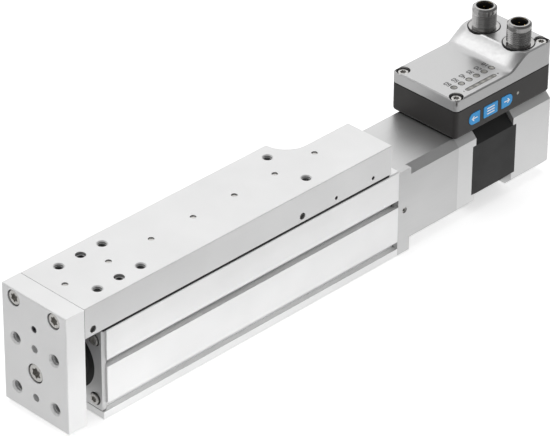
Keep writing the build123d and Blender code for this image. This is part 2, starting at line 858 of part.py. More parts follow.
def jaw_wedge(x0, turn):
    """A wedge of the coupling's cross section, jaw_angle wide."""
    reach = 2 * coupling_r
    rise = reach * tan(radians(jaw_angle / 2))
    wedge = Polyline((0, 0), (reach, -rise), (reach, rise), close=True)
    face = Plane.YZ.offset(x0) * make_face(wedge)
    solid = extrude(face, amount=coupling_jaw_length)
    return Pos(0, 0, screw_axis_z) * Rot(turn, 0, 0) * solid


def coupling_spider():
    """Elastic star between the four jaws."""
    disc_length = (coupling_length - coupling_jaw_length) / 2
    x0 = coupling_x + disc_length
    star = ring_x(x0 + spider_gap, x0 + coupling_jaw_length - spider_gap, coupling_r, spider_bore_r)
    pocket = ring_x(x0, x0 + coupling_jaw_length, coupling_r + overshoot, jaw_root_r - spider_gap)
    for k in range(4):
        star -= pocket & jaw_wedge(x0, 90 * k)
    return star


def motor_shaft():
    x1 = rear_parts_x() + work_gap
    hub_x0 = coupling_x + (coupling_length + coupling_jaw_length) / 2
    return rod_x(hub_x0, x1, motor_shaft_r)


def motor_rotor():
    """Toothed rotor stack on the motor shaft."""
    r = stator_bore_r - rotor_gap
    x0 = stack_front + work_gap
    x1 = stack_rear - work_gap
    body = rod_x(x0, x1, r)
    half = pi * r / rotor_teeth / 2
    slot = block(x0, x1, -half, half, r - rotor_tooth_depth, r + overshoot)
    for k in range(rotor_teeth):
        body -= Pos(0, 0, screw_axis_z) * Rot(360 / rotor_teeth * k, 0, 0) * slot
    return body - rod_x(x0, x1, motor_shaft_r)


def encoder_magnet():
    x0 = rear_parts_x() + work_gap
    return rod_x(x0, encoder_magnet_end(), magnet_disc_r)


# Stepper motor
def corner_lugs(x0, x1):
    """Four corner lugs of a motor bell that lie beside the lamination stack."""
    section = frame_section(motor_size, frame_chamfer) - frame_section(motor_size, stack_chamfer)
    return along_x(section, x0, x1)


def motor_front_flange():
    body = along_x(frame_section(motor_size, frame_chamfer), drive_rear, stack_front)
    body += corner_lugs(stack_front, stack_front + lug_reach)
    body += rod_x(drive_rear - motor_pilot_length, drive_rear, motor_pilot_r - fit_gap)
    body -= rod_x(drive_rear - motor_pilot_length, stack_front, motor_shaft_r + seat_gap)
    body -= rod_x(drive_rear, drive_rear + motor_bearing_width, motor_bearing_r)
    body -= rod_x(stack_front - winding_reach - work_gap, stack_front, stator_bore_r + pole_slot_depth)
    for y, z in motor_screw_points():
        body -= rod_x(drive_rear - overshoot, drive_rear + thread_depth / 2, m3[0], y, z)
    return body


def motor_screws():
    screws = Part()
    for y, z in motor_screw_points():
        length = drive_screw_seat + thread_depth / 2 - work_gap
        screws += Pos(drive_rear - drive_screw_seat, y, z) * facing_front * screw(m3, length)
    return screws


def motor_stator():
    """Black lamination stack with the pole slots around the rotor."""
    body = along_x(frame_section(motor_size, stack_chamfer), stack_front, stack_rear)
    body -= rod_x(stack_front, stack_rear, stator_bore_r)
    for k in range(pole_count):
        turn = Rot(360 / pole_count * k, 0, 0)
        body -= Pos(0, 0, screw_axis_z) * turn * pole_slot(stack_front, stack_rear)
    return body


def pole_slot(x0, x1):
    half = pole_slot_width / 2
    return block(x0, x1, -half, half, stator_bore_r - overshoot, stator_bore_r + pole_slot_depth)


def stator_windings():
    """Copper in the pole slots, with the end turns in front and behind."""
    half = pole_slot_width / 2
    outer = stator_bore_r + pole_slot_depth - work_gap
    inner = stator_bore_r + work_gap
    coils = Part()
    for x0 in (stack_front - winding_reach, stack_rear):
        coils += ring_x(x0, x0 + winding_reach, outer, inner)
    for k in range(pole_count):
        turn = Rot(360 / pole_count * k, 0, 0)
        bar = block(stack_front, stack_rear, -half, half, inner, outer)
        coils += Pos(0, 0, screw_axis_z) * turn * bar
    return coils


def motor_bearings():
    """Outer and inner rings of the two motor bearings as closed cartridges."""
    inner = motor_shaft_r + fit_gap
    rings = ring_x(drive_rear, drive_rear + motor_bearing_width, motor_bearing_r, inner)
    x0 = stack_rear + winding_reach + work_gap
    return rings + ring_x(x0, x0 + motor_bearing_width - overshoot, motor_bearing_r, inner)


def rear_parts_x():
    """Where the rear bell's bearing wall ends and its electronics room starts."""
    return stack_rear + winding_reach + work_gap + motor_bearing_width


def motor_rear_bell():
    """Rear bell: winding room, bearing wall and electronics room behind it."""
    cap_x = motor_rear - rear_cap_length
    body = along_x(frame_section(motor_size, frame_chamfer), stack_rear, cap_x)
    body += corner_lugs(stack_rear - lug_reach, stack_rear)
    wall_x = rear_parts_x()
    body -= rod_x(stack_rear, stack_rear + winding_reach + work_gap, stator_bore_r + pole_slot_depth)
    body -= rod_x(stack_rear, wall_x, motor_shaft_r + seat_gap)
    body -= rod_x(stack_rear + winding_reach + work_gap, wall_x - overshoot, motor_bearing_r)
    room = encoder_board_size / 2 + work_gap
    body -= block(wall_x, cap_x, -room, room, screw_axis_z - room, screw_axis_z + room)
    return body


def motor_rear_cap():
    """Plate that closes the electronics room, with rounded edges."""
    body = along_x(frame_section(motor_size, frame_chamfer), motor_rear - rear_cap_length, motor_rear)
    return fillet(body.edges().group_by(Axis.X)[-1], rear_edge_r)


def encoder_board():
    """Sensor board behind the motor shaft, on four posts of the bell's wall."""
    x0 = encoder_magnet_end() + work_gap
    half = encoder_board_size / 2
    board = block(x0, x0 + board_thickness, -half, half, screw_axis_z - half, screw_axis_z + half)
    chip = magnet_disc_r
    board += block(
        x0 + board_thickness, x0 + 2 * board_thickness, -chip, chip,
        screw_axis_z - chip, screw_axis_z + chip,
    )
    post = half - encoder_post_inset
    for y in (-post, post):
        for z in (screw_axis_z - post, screw_axis_z + post):
            board += rod_x(rear_parts_x(), x0, m3[0], y, z)
    return board


def encoder_magnet_end():
    return rear_parts_x() + work_gap + magnet_disc_length


# Control box
def rounded_plan(inset):
    """Plan of the control box, drawn in its own corner frame."""
    width = box_length - 2 * inset
    depth = box_width - 2 * inset
    centre = Pos((box_x0 + box_x1) / 2, box_shift_y)
    return centre * RectangleRounded(width, depth, box_corner_r - inset * inner_round_share)


def key_window(k, gap, y0, y1):
    """Solid with the outline of key k from y0 to y1, gap wider all round."""
    width = key_widths[k] + 2 * gap
    height = key_height + 2 * gap
    x = box_x0 + key_centres[k]
    round_r = key_end_r + gap
    square_r = key_square_r + gap
    solid = Pos(x, (y0 + y1) / 2, key_z) * Box(width, y1 - y0, height)
    upright = solid.edges().filter_by(Axis.Y)
    ordered = upright.sort_by(Axis.X)
    left_r = round_r if k == 0 else square_r
    right_r = round_r if k == 2 else square_r
    solid = fillet(ordered[:2], left_r)
    ordered = solid.edges().filter_by(Axis.Y).sort_by(Axis.X)
    return fillet(ordered[-2:], right_r)


def control_base():
    """Dark lower shell: floor, walls, screw posts and the three key windows."""
    body = extrude(Pos(0, 0, box_z0) * rounded_plan(0), amount=box_base_height)
    body = fillet(body.edges().group_by(Axis.Z)[0], box_foot_r)
    room = extrude(Pos(0, 0, box_z0 + box_wall) * rounded_plan(box_wall), amount=box_base_height)
    for x, y in box_screw_points:
        room -= rod_z(box_z0, box_z1, box_post_r, x, y)
    body -= room
    for x, y in box_screw_points:
        body -= rod_z(box_z0 + box_wall, box_z1 + overshoot, box_screw[0], x, y)
    for k in range(len(key_widths)):
        body -= key_window(k, key_gap, box_y0 - overshoot, box_y0 + key_depth - key_proud + overshoot)
    x = box_x0 + port_led_x
    body -= rod_y(box_y0 - overshoot, box_y0 + box_wall, port_led_r, x, port_led_z)
    return body


def platform_plan(overhang, corner_r, front_x):
    """Plan of the platform from front_x back, wider than the box, with rounded front corners."""
    rear = box_x1 + box_length
    plan = rect(front_x, rear, box_y0 - overhang, box_y1 + overhang)
    return fillet(plan.vertices().group_by(Axis.X)[0], corner_r)


def level_edges(body, z):
    """The body's level edges at height z that lie behind the box's front face."""
    def wanted(edge):
        box = edge.bounding_box()
        return abs(edge.center().Z - z) < fit_gap and box.size.Z < fit_gap and box.min.X > box_x0
    return body.edges().filter_by(wanted)


def cover_form():
    """The deck and the platform with the ramp flowing round its front corners, cut to no outline."""
    foot_x = box_x1 - platform_length - ramp_length
    reach = platform_overhang + ramp_length
    foot = platform_plan(reach, platform_corner_r + ramp_length, foot_x)
    slope = degrees(atan(ramp_length / cover_rise))
    body = extrude(Pos(0, 0, cover_z1) * foot, amount=cover_rise, taper=slope)
    side = box_width + box_length
    body += block(box_x0 - side, box_x1 + side, -side, side, 0, cover_z1)
    body = fillet(level_edges(body, cover_z1), ramp_foot_r)
    return fillet(level_edges(body, platform_z), ramp_head_r)


def cover_solid(drop, inset):
    """The cover's outer form, or its hollow when drop and inset are the wall."""
    height = cover_band + cover_rise + overshoot
    plan = extrude(Pos(0, 0, cover_z0) * rounded_plan(inset), amount=height)
    return Pos(0, 0, -drop) * cover_form() & plan


def control_cover():
    """Die-cast cover: shell, corner screw pockets, light windows and connector seats."""
    body = cover_solid(0, 0)
    body = chamfer(body.edges().filter_by(on_cover_rim), cover_edge)
    body -= cover_solid(box_wall, box_wall)
    for x, y in box_screw_points:
        top = pocket_top(x)
        body += rod_z(cover_z0, top - box_pocket_depth, box_post_r, x, y) & cover_solid(0, 0)
        body -= rod_z(top - box_pocket_depth, top + overshoot, box_pocket_r, x, y)
        body -= rod_z(cover_z0 - overshoot, top, box_screw[0] + shank_gap, x, y)
        body -= corner_slit(x, y, top)
    for k in range(led_count):
        x = box_x0 + led_first + k * led_pitch
        body -= rod_z(cover_z1 - box_wall - overshoot, cover_z1 + overshoot, led_r, x, led_y)
    window = extrude(bar_plan(0), amount=box_wall + 2 * overshoot)
    body -= Pos(0, 0, cover_z1 - box_wall - overshoot) * window
    seat_z = platform_z - connector_seat_depth
    for y in connector_ys:
        body -= rod_z(seat_z, platform_z + overshoot, connector_seat_r, connector_x, y)
        body -= rod_z(cover_z0, platform_z, connector_tail_r + seat_gap, connector_x, y)
    return body


def on_cover_rim(edge):
    """True for a top edge on the cover's outline, flat deck or platform."""
    c = edge.center()
    flat = edge.bounding_box().size.Z < overshoot
    near = box_corner_r
    on_x = min(abs(c.X - box_x0), abs(c.X - box_x1)) < near
    on_y = min(abs(c.Y - box_y0), abs(c.Y - box_y1)) < near
    return c.Z > cover_z1 - cover_edge and flat and (on_x or on_y)


def pocket_top(x):
    """Height of the cover's top at a corner screw."""
    return cover_z1 if x < (box_x0 + box_x1) / 2 else platform_z


def corner_slit(x, y, top):
    """Slit that opens the corner pocket to the outside."""
    side_x = -1 if x < (box_x0 + box_x1) / 2 else 1
    side_y = -1 if y < box_shift_y else 1
    turn = {(-1, -1): 225, (1, -1): 315, (1, 1): 45, (-1, 1): 135}[(side_x, side_y)]
    half = box_slit_width / 2
    slit = block(0, box_screw_inset * 2, -half, half, top - box_pocket_depth, top + overshoot)
    return Pos(x, y, 0) * Rot(0, 0, turn) * slit


def control_screws():
    screws = Part()
    for x, y in box_screw_points:
        seat = pocket_top(x) - box_pocket_depth
        screws += Pos(x, y, seat) * screw(box_screw, seat - box_z0 - 2 * box_wall)
    return screws


def cover_gasket():
    """Seal between the base and the cover, just inside the outline."""
    plan = rounded_plan(seat_gap) - rounded_plan(box_wall)
    for x, y in box_screw_points:
        ring = Pos(x, y) * Circle(box_post_r) - Pos(x, y) * Circle(box_screw[0] + shank_gap)
        plan += ring & rounded_plan(seat_gap)
    for x, y in box_screw_points:
        plan -= Pos(x, y) * Circle(box_screw[0] + shank_gap)
    return extrude(Pos(0, 0, box_z1) * plan, amount=gasket_height)


def bar_plan(inset):
    centre = Pos(box_x0 + bar_first + bar_length / 2, bar_y)
    return centre * SlotOverall(bar_length - 2 * inset, bar_width - 2 * inset)


def status_leds():
    """Round lenses of the status lights, a little below the cover's face."""
    lenses = Part()
    for k in range(led_count):
        x = box_x0 + led_first + k * led_pitch
        lenses += rod_z(cover_z1 - box_wall, cover_z1 - 2 * fit_gap, led_r - lens_gap, x, led_y)
    return lenses


def position_bar():
    return extrude(Pos(0, 0, cover_z1 - box_wall) * bar_plan(lens_gap), amount=box_wall - 2 * fit_gap)


def port_led():
    x = box_x0 + port_led_x
    return rod_y(box_y0 + fit_gap, box_y0 + box_wall, port_led_r, x, port_led_z)


def control_board():
    """Circuit board with the edge strip that carries the key switches."""
    board = extrude(Pos(0, 0, box_z0 + board_lift) * rounded_plan(board_inset), amount=board_thickness)
    for x, y in box_screw_points:
        board -= rod_z(box_z0, box_z1, box_post_r + seat_gap, x, y)
    for x in (box_x0 + board_post_inset, box_x1 - board_post_inset):
        board += rod_z(box_z0 + box_wall, box_z0 + board_lift, m3[0], x, box_shift_y)
    strip_y = key_inner_y() + key_travel + dome_height
    x0 = box_x0 + key_centres[0] - key_widths[0] / 2
    x1 = box_x0 + key_centres[2] + key_widths[2] / 2
    z1 = box_z0 + board_lift + board_thickness
    board += block(x0, x1, strip_y, strip_y + board_thickness, z1 - board_thickness, key_z + key_height / 2)
    return board


def key_inner_y():
    """Inner face of the keys at rest."""
    return box_y0 - key_proud + key_depth


def key_domes():
    """Snap domes on the switch strip, one behind each key."""
    domes = Part()
    y0 = key_inner_y() + key_travel
    for centre in key_centres:
        domes += rod_y(y0, y0 + dome_height, dome_r, box_x0 + centre, key_z)
    return domes


def key(k):
    """Blue key k: a cap in its window with a wider foot behind the wall's inner face."""
    return key_window(k, 0, box_y0 - key_proud, key_inner_y())


# Connectors
def connector_shell(y):
    """Threaded sleeve with collar, thread grooves, flange and tail."""
    base = platform_z - connector_seat_depth
    flange_top = platform_z + connector_flange_proud
    mouth = platform_z + connector_height
    body = rod_z(base, flange_top, connector_flange_r, connector_x, y)
    body += rod_z(flange_top, mouth, connector_root_r, connector_x, y)
    collar_z = mouth - connector_collar
    body += rod_z(collar_z, mouth, connector_r, connector_x, y)
    turns = int((collar_z - connector_neck - flange_top) / connector_thread_pitch)
    for k in range(turns):
        z = flange_top + connector_neck / 2 + k * connector_thread_pitch
        body += thread_ring(z, y)
    body = chamfer(body.edges().group_by(Axis.Z)[-1], connector_lead)
    body += rod_z(platform_z - connector_tail, base, connector_tail_r, connector_x, y)
    bottom = mouth - connector_bore_depth
    return body - rod_z(bottom, mouth + overshoot, connector_bore_r, connector_x, y)


def connector_inserts():
    """Black insulating cups in the shells, each with a coding rib on its wall."""
    cups = Part()
    mouth = platform_z + connector_height
    bottom = mouth - connector_bore_depth
    inner_r = connector_bore_r - insert_wall
    half = key_rib / 2
    for y in connector_ys:
        cup = rod_z(bottom, mouth - connector_lead, connector_bore_r, connector_x, y)
        cup -= rod_z(bottom + insert_floor, mouth, inner_r, connector_x, y)
        rib_x = connector_x - inner_r
        rib = block(rib_x - fit_gap, rib_x + key_rib, y - half, y + half, bottom, mouth - key_rib)
        cup += rib
        for x, pin_y in contact_points(y):
            cup -= rod_z(bottom, mouth, contact_r, x, pin_y)
        cups += cup
    return cups


def thread_ring(z, y):
    """One thread ridge as a ring with two slopes."""
    half = connector_thread_pitch / 2
    low = cone_z(z, z + half, connector_root_r, connector_r, connector_x, y)
    return low + cone_z(z + half, z + 2 * half, connector_r, connector_root_r, connector_x, y)


def connector_contacts():
    """Gold contact pins in both connectors."""
    pins = Part()
    bottom = platform_z + connector_height - connector_bore_depth
    for y in connector_ys:
        for x, pin_y in contact_points(y):
            pins += rod_z(bottom, bottom + contact_proud, contact_r, x, pin_y)
    return pins


def contact_points(y):
    """Plan positions of the contacts of the connector at y, on a circle."""
    step = 360 / contact_count
    spots = [Rot(0, 0, step * (k + 1 / 2)) * Pos(pin_circle_r, 0, 0) for k in range(contact_count)]
    return [(connector_x + spot.position.X, y + spot.position.Y) for spot in spots]


def connector_seals():
    """Black seal rings in the cover's seats around the connector flanges."""
    rings = Part()
    z0 = platform_z - connector_seat_depth
    for y in connector_ys:
        rings += rod_z(z0, platform_z - 2 * fit_gap, connector_seat_r, connector_x, y)
        rings -= rod_z(z0, platform_z, connector_flange_r, connector_x, y)
    return rings


nodes = {
    "slide_table": slide_table(),
    "side_plugs": side_plugs(),
    "yoke_plate": yoke_plate(),
    "yoke_screws": yoke_screws(),
    "rod_screw": rod_screw(),
    "push_rod": push_rod(),
    "ball_nut": ball_nut(),
    "nut_return_tubes": nut_return_tubes(),
    "sensing_magnet": sensing_magnet(),
    "guide_rail": guide_rail(),
    "rail_screws": rail_screws(),
    "guide_blocks": guide_blocks(),
    "block_end_caps": block_end_caps(),
    "block_screws": block_screws(),
    "housing_profile": housing_profile(),
    "front_cover": front_cover(),
    "front_cover_screws": front_cover_screws(),
    "rod_wiper": rod_wiper(),
    "rod_bush": rod_bush(),
    "stop_buffers": stop_buffers(),
    "drive_housing": drive_housing(),
    "drive_housing_screws": drive_housing_screws(),
    "bearing_set_screw": bearing_set_screw(),
    "bearing_outer_ring": bearing_outer_ring(),
    "bearing_inner_ring": bearing_inner_ring(),
    "bearing_balls": bearing_balls(),
    "bearing_retainer": bearing_retainer(),
    "spindle_lock_nut": spindle_lock_nut(),
    "ball_screw": ball_screw(),
    "coupling_hub_front": coupling_hub(True),
    "coupling_hub_rear": coupling_hub(False),
    "coupling_spider": coupling_spider(),
    "motor_shaft": motor_shaft(),
    "motor_rotor": motor_rotor(),
    "encoder_magnet": encoder_magnet(),
    "motor_front_flange": motor_front_flange(),
    "motor_screws": motor_screws(),
    "motor_stator": motor_stator(),
    "stator_windings": stator_windings(),
    "motor_bearings": motor_bearings(),
    "motor_rear_bell": motor_rear_bell(),
    "motor_rear_cap": motor_rear_cap(),
    "encoder_board": encoder_board(),
    "control_base": control_base(),
    "control_cover": control_cover(),
    "cover_gasket": cover_gasket(),
    "control_screws": control_screws(),
    "control_board": control_board(),
    "key_domes": key_domes(),
    "key_left": key(0),
    "key_centre": key(1),
    "key_right": key(2),
    "status_leds": status_leds(),
    "position_bar": position_bar(),
    "port_led": port_led(),
    "connector_near": connector_shell(connector_ys[0]),
    "connector_far": connector_shell(connector_ys[1]),
    "connector_inserts": connector_inserts(),
    "connector_contacts": connector_contacts(),
    "connector_seals": connector_seals(),
}

os.makedirs("parts", exist_ok=True)
for name, shape in nodes.items():
    export_step(shape, f"parts/{name}.step")
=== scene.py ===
# %% [markdown]
# # A miniature linear slide
# The object is a small machine axis: a table runs along an extruded housing, pushed by a screw
# that a stepper motor turns, and a control box sits on top of the motor.
# The solid parts come ready from the frame, so this lesson is about their looks: anodised
# aluminium, black laminations, moulded plastic, satin lacquer, nickel, printed keys and small threads.

# %% Load the frame
import json
from math import cos, pi, radians, sin

import bmesh
import bpy
from mathutils import Matrix, Vector


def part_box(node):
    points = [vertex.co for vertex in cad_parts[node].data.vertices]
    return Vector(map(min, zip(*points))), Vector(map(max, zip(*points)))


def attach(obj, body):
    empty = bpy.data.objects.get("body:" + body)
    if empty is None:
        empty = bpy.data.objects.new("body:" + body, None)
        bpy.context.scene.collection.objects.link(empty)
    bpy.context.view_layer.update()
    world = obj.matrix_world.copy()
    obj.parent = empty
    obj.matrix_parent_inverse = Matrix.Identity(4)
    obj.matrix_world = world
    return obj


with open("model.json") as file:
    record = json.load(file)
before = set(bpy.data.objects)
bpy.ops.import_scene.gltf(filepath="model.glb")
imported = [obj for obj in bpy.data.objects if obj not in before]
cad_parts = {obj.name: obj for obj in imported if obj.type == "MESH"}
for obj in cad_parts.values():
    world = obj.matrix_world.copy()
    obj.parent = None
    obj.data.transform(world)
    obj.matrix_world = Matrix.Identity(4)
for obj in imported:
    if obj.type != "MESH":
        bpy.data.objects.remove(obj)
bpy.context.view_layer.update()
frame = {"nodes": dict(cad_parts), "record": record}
nodes = frame["nodes"]
record = frame["record"]

# %% [markdown]
# ## The camera
# The photograph is a product shot from far away with a long lens, so parallel edges stay almost
# parallel. A camera can be placed by trial, but here its heading, height and lens were worked out
# from the straight edges and the rows of holes, which lie 26 mm and 25 mm apart.
# The camera's own axes are built from the heading, then rolled by half a degree.

# %% Place the camera
heading, height, roll = radians(-45.38), radians(32.64), radians(0.46)
camera_place = Vector((-1.01795, -1.03843, 0.98543))

back = Vector((sin(heading) * cos(height), -cos(heading) * cos(height), sin(height)))
right = Vector((cos(heading), sin(heading), 0))
up = back.cross(right)
rolled_right = right * cos(roll) + up * sin(roll)
rolled_up = up * cos(roll) - right * sin(roll)

lens_data = bpy.data.cameras.new("product_lens")
lens_data.sensor_fit = "HORIZONTAL"
lens_data.sensor_width = 36
lens_data.lens = 248.21
lens_data.clip_end = 20
camera = bpy.data.objects.new("product_camera", lens_data)
bpy.context.collection.objects.link(camera)
turn = Matrix((rolled_right, rolled_up, back)).transposed().to_4x4()
camera.matrix_world = Matrix.Translation(camera_place) @ turn
bpy.context.scene.camera = camera
print("camera distance", round(camera_place.length, 3), "m, lens", lens_data.lens, "mm")

# %% [markdown]
# ## Small tools for node materials
# A material in Blender is a graph of nodes. Written out in full, each node takes four or five
# lines, so a few small helpers keep the recipes readable: one makes a material, one adds a node
# with its settings, and one joins an output to an input. Two more write colours.

# %% Helpers for materials
def new_material(name):
    """An empty material, and the tree and shader that its recipe works on."""
    material = bpy.data.materials.new(name)
    material.use_nodes = True
    tree = material.node_tree
    return material, tree, tree.nodes["Principled BSDF"]


def add(tree, kind, values=None, **settings):
    """A node of that kind with its input values and its settings."""
    node = tree.nodes.new("ShaderNode" + kind)
    for key, value in settings.items():
        setattr(node, key, value)
    for key, value in (values or {}).items():
        node.inputs[key].default_value = value
    return node


def join(tree, source, output, target, socket):
    """A link from an output of one node to an input of another."""
    tree.links.new(source.outputs[output], target.inputs[socket])


def grey(value):
    """An opaque colour with one value in all its channels."""
    return (value, value, value, 1)


def tints(colour, darker, lighter):
    """A darker and a lighter form of a colour, for the two ends of a mask."""
    return (tuple(c * darker for c in colour) + (1,),
            tuple(min(c * lighter, 1) for c in colour) + (1,))


# %% [markdown]
# ## Object coordinates at the right scale
# Surface detail has a real size: blasting leaves grains of a tenth or two of a millimetre, and
# an extrusion die draws lines metres long. Object coordinates are in metres here, so a noise
# scale of 5200 gives grains of about 0.2 mm. Stretching the coordinates along one axis turns
# grains into lines. The same noise then lets the colour and the gloss wander a little, because
# no real finish is quite even.

# %% Helpers for surface detail
def noise(tree, scale, stretch=(1, 1, 1), detail=3.0, roughness=0.55):
    """A noise texture in object coordinates, with its coordinates scaled along each axis."""
    place = add(tree, "TexCoord")
    mapping = add(tree, "Mapping", {"Scale": stretch})
    texture = add(tree, "TexNoise", {"Scale": scale, "Detail": detail, "Roughness": roughness})
    join(tree, place, "Object", mapping, "Vector")
    join(tree, mapping, "Vector", texture, "Vector")
    return texture


def spread(tree, texture, low, high):
    """Maps the middle of a noise's values, 0.3 to 0.7, to the range low to high."""
    ranger = add(tree, "MapRange", {"From Min": 0.3, "From Max": 0.7, "To Min": low, "To Max": high})
    join(tree, texture, "Fac", ranger, "Value")
    return ranger


def shade(tree, mask, output, dark, light):
    """Mixes two colours by a mask."""
    mix = add(tree, "Mix", {"A": dark, "B": light}, data_type="RGBA")
    join(tree, mask, output, mix, "Factor")
    return mix


def mottle(tree, texture, dark, light):
    """Mixes two colours by a noise."""
    return shade(tree, spread(tree, texture, 0, 1), "Result", dark, light)


def vary_gloss(tree, texture, shader, low, high):
    """Lets the roughness wander between two values with a noise."""
    join(tree, spread(tree, texture, low, high), "Result", shader, "Roughness")


# %% [markdown]
# ## Soft edges
# No machined edge is perfectly sharp: it is broken by a file or a cutter, and catches the light
# as a thin bright line. The frame's solids have their large chamfers, and the smallest ones are
# left to the shader here. The Bevel node rounds the normals near an edge, and where the rounded
# normal leaves the true one there is an edge, which also gives a mask for a little wear and a
# painted highlight: the colour is made lighter along the edges.

# %% Edge normals and the edge mask
def soft_edge(tree, radius):
    """Normals that are rounded near edges."""
    return add(tree, "Bevel", {"Radius": radius}, samples=6)


def edge_mask(tree, bevel):
    """A mask that is 1 on the edges, where the rounded normal leaves the true one."""
    geometry = add(tree, "NewGeometry")
    dot = add(tree, "VectorMath", operation="DOT_PRODUCT")
    join(tree, bevel, "Normal", dot, 0)
    join(tree, geometry, "Normal", dot, 1)
    mask = add(tree, "MapRange", {"From Min": 0.80, "From Max": 0.995, "To Min": 1, "To Max": 0})
    join(tree, dot, "Value", mask, "Value")
    return mask


def bump(tree, source, output, shader, distance, strength=1.0, below=None):
    """Adds a bump in metres to the shader, on top of another normal if one is given."""
    node = add(tree, "Bump", {"Distance": distance, "Strength": strength})
    join(tree, source, output, node, "Height")
    if below is not None:
        join(tree, below, "Normal", node, "Normal")
    join(tree, node, "Normal", shader, "Normal")
    return node


# %% [markdown]
# ## Painted shade in gaps
# Light hardly gets out of narrow gaps, so the colour is darkened there as painted shade. An ambient
# occlusion node measures how open each point is, so its colour can sink to nearly black where
# two castings stand a millimetre apart, while open faces keep their tone.

# %% Gap mask
def open_air(tree, reach, closed=0.12, open_from=0.50):
    """A mask that is 1 in the open and 0 deep inside a gap narrower than the reach."""
    near = add(tree, "AmbientOcclusion", {"Distance": reach}, samples=6)
    mask = add(tree, "MapRange", {"From Min": closed, "From Max": open_from})
    join(tree, near, "AO", mask, "Value")
    return mask


def paint_gap_shade(tree, colour, shader, reach, holes=0.0):
    """Darkens a colour with painted shade by the gap mask, and by a wider mask in deep holes, into the
    base colour.
    """
    # painted shade: deep in gaps and holes the colour sinks to this near-black
    gap_shade_colour = grey(0.02)
    mask = open_air(tree, reach)
    if holes:
        both = add(tree, "Math", operation="MULTIPLY")
        join(tree, mask, "Result", both, 0)
        join(tree, open_air(tree, holes, 0.14, 0.62), "Result", both, 1)
        mask = both
    mix = add(tree, "Mix", {"A": gap_shade_colour}, data_type="RGBA")
    join(tree, mask, 0, mix, "Factor")
    join(tree, colour, "Result", mix, "B")
    join(tree, mix, "Result", shader, "Base Color")


# %% [markdown]
# ## Anodised aluminium
# Anodising grows a thin hard oxide on the metal, which scatters light: the surface is bright
# but has no sharp reflections. Pure metal in the shader looks like polished steel, so the
# metallic value is lowered, which lets the oxide glow softly. Three layers of noise follow the
# real causes: clouds from the bath, draw lines from the die and a fine grain from blasting.

# %% Anodised aluminium
def anodised(name, colour, roughness, metallic, lines=(1, 1, 1), line_scale=900, holes=0.0):
    """Anodised aluminium: lines stretches the draw lines, holes paints shade in deep holes to that
    reach.
    """
    material, tree, shader = new_material(name)
    shader.inputs["Metallic"].default_value = metallic
    clouds = noise(tree, 28, detail=2)
    tone = mottle(tree, clouds, grey(colour * 0.965), grey(min(colour * 1.03, 0.97)))
    bevel = soft_edge(tree, 0.0002)
    # painted highlight and a little wear: the colour is made lighter along the edges
    edge_wear_and_highlight = grey(min(colour * 1.12, 0.98))
    bright = add(tree, "Mix", {"B": edge_wear_and_highlight}, data_type="RGBA")
    join(tree, edge_mask(tree, bevel), "Result", bright, "Factor")
    join(tree, tone, "Result", bright, "A")
    # painted shade: the colour is darkened in narrow gaps, and in deep holes when a reach for them is
    # given
    paint_gap_shade(tree, bright, shader, 0.0014, holes)
    drawn = noise(tree, line_scale, lines, detail=4)
    vary_gloss(tree, drawn, shader, roughness - 0.05, roughness + 0.06)
    grain = noise(tree, 5200, detail=2)
    both = add(tree, "Math", operation="ADD")
    join(tree, drawn, "Fac", both, 0)
    join(tree, grain, "Fac", both, 1)
    bump(tree, both, "Value", shader, 0.000006, 0.5, below=bevel)
    return material


looks = {}
# painted shade in the table's deep holes, to a reach of 5 mm
looks["table_anodised"] = anodised("table_anodised", 0.80, 0.40, 0.65, line_scale=1600, holes=0.005)
looks["profile_anodised"] = anodised("profile_anodised", 0.89, 0.38, 0.55, lines=(0.02, 1, 1))
looks["cover_anodised"] = anodised("cover_anodised", 0.66, 0.38, 0.75, lines=(1, 0.05, 1))
looks["drive_anodised"] = anodised("drive_anodised", 0.63, 0.36, 0.85, lines=(0.05, 1, 1))
looks["motor_casting"] = anodised("motor_casting", 0.76, 0.42, 0.85, line_scale=2200)
print("aluminium finishes", len(looks))

# %% [markdown]
# ## Painted and moulded surfaces
# The box is a dark moulded base under a die-cast cover with silver lacquer. Moulded plastic
# takes the grain of its tool, so it gets a fine leathery noise in the bump. Rubber and small
# polymer pieces differ only in colour, gloss and grain, so one recipe serves them all.

# %% Moulded plastic and rubber
def moulded(name, colour, roughness, grain_scale, depth):
    """Plastic or rubber with the grain of its tool, depth metres deep."""
    material, tree, shader = new_material(name)
    tone = mottle(tree, noise(tree, 60, detail=3), *tints(colour, 0.85, 1.18))
    join(tree, tone, "Result", shader, "Base Color")
    grain = noise(tree, grain_scale, detail=2)
    vary_gloss(tree, grain, shader, roughness - 0.04, roughness + 0.06)
    bump(tree, grain, "Fac", shader, depth, 0.6, below=soft_edge(tree, 0.00025))
    return material


looks["box_black"] = moulded("box_black", (0.024, 0.022, 0.021), 0.46, 2600, 0.00003)
looks["black_seal"] = moulded("black_seal", (0.010, 0.010, 0.010), 0.55, 3500, 0.00001)
looks["cap_polymer"] = moulded("cap_polymer", (0.030, 0.030, 0.032), 0.5, 3000, 0.00002)
looks["coupling_red"] = moulded("coupling_red", (0.45, 0.04, 0.025), 0.45, 3000, 0.00001)
looks["board_green"] = moulded("board_green", (0.015, 0.12, 0.05), 0.3, 1500, 0.00001)


# %% [markdown]
# Lacquer is smoother than plastic: metal flakes of about a tenth of a millimetre under a clear
# coat. The ramp of the cover is slightly hollow on the real object, which spreads a bright band
# over it. The solid's ramp is flat, so a height that dips 0.33 mm half-way up is fed into the
# normals, and the band appears without a change of shape.

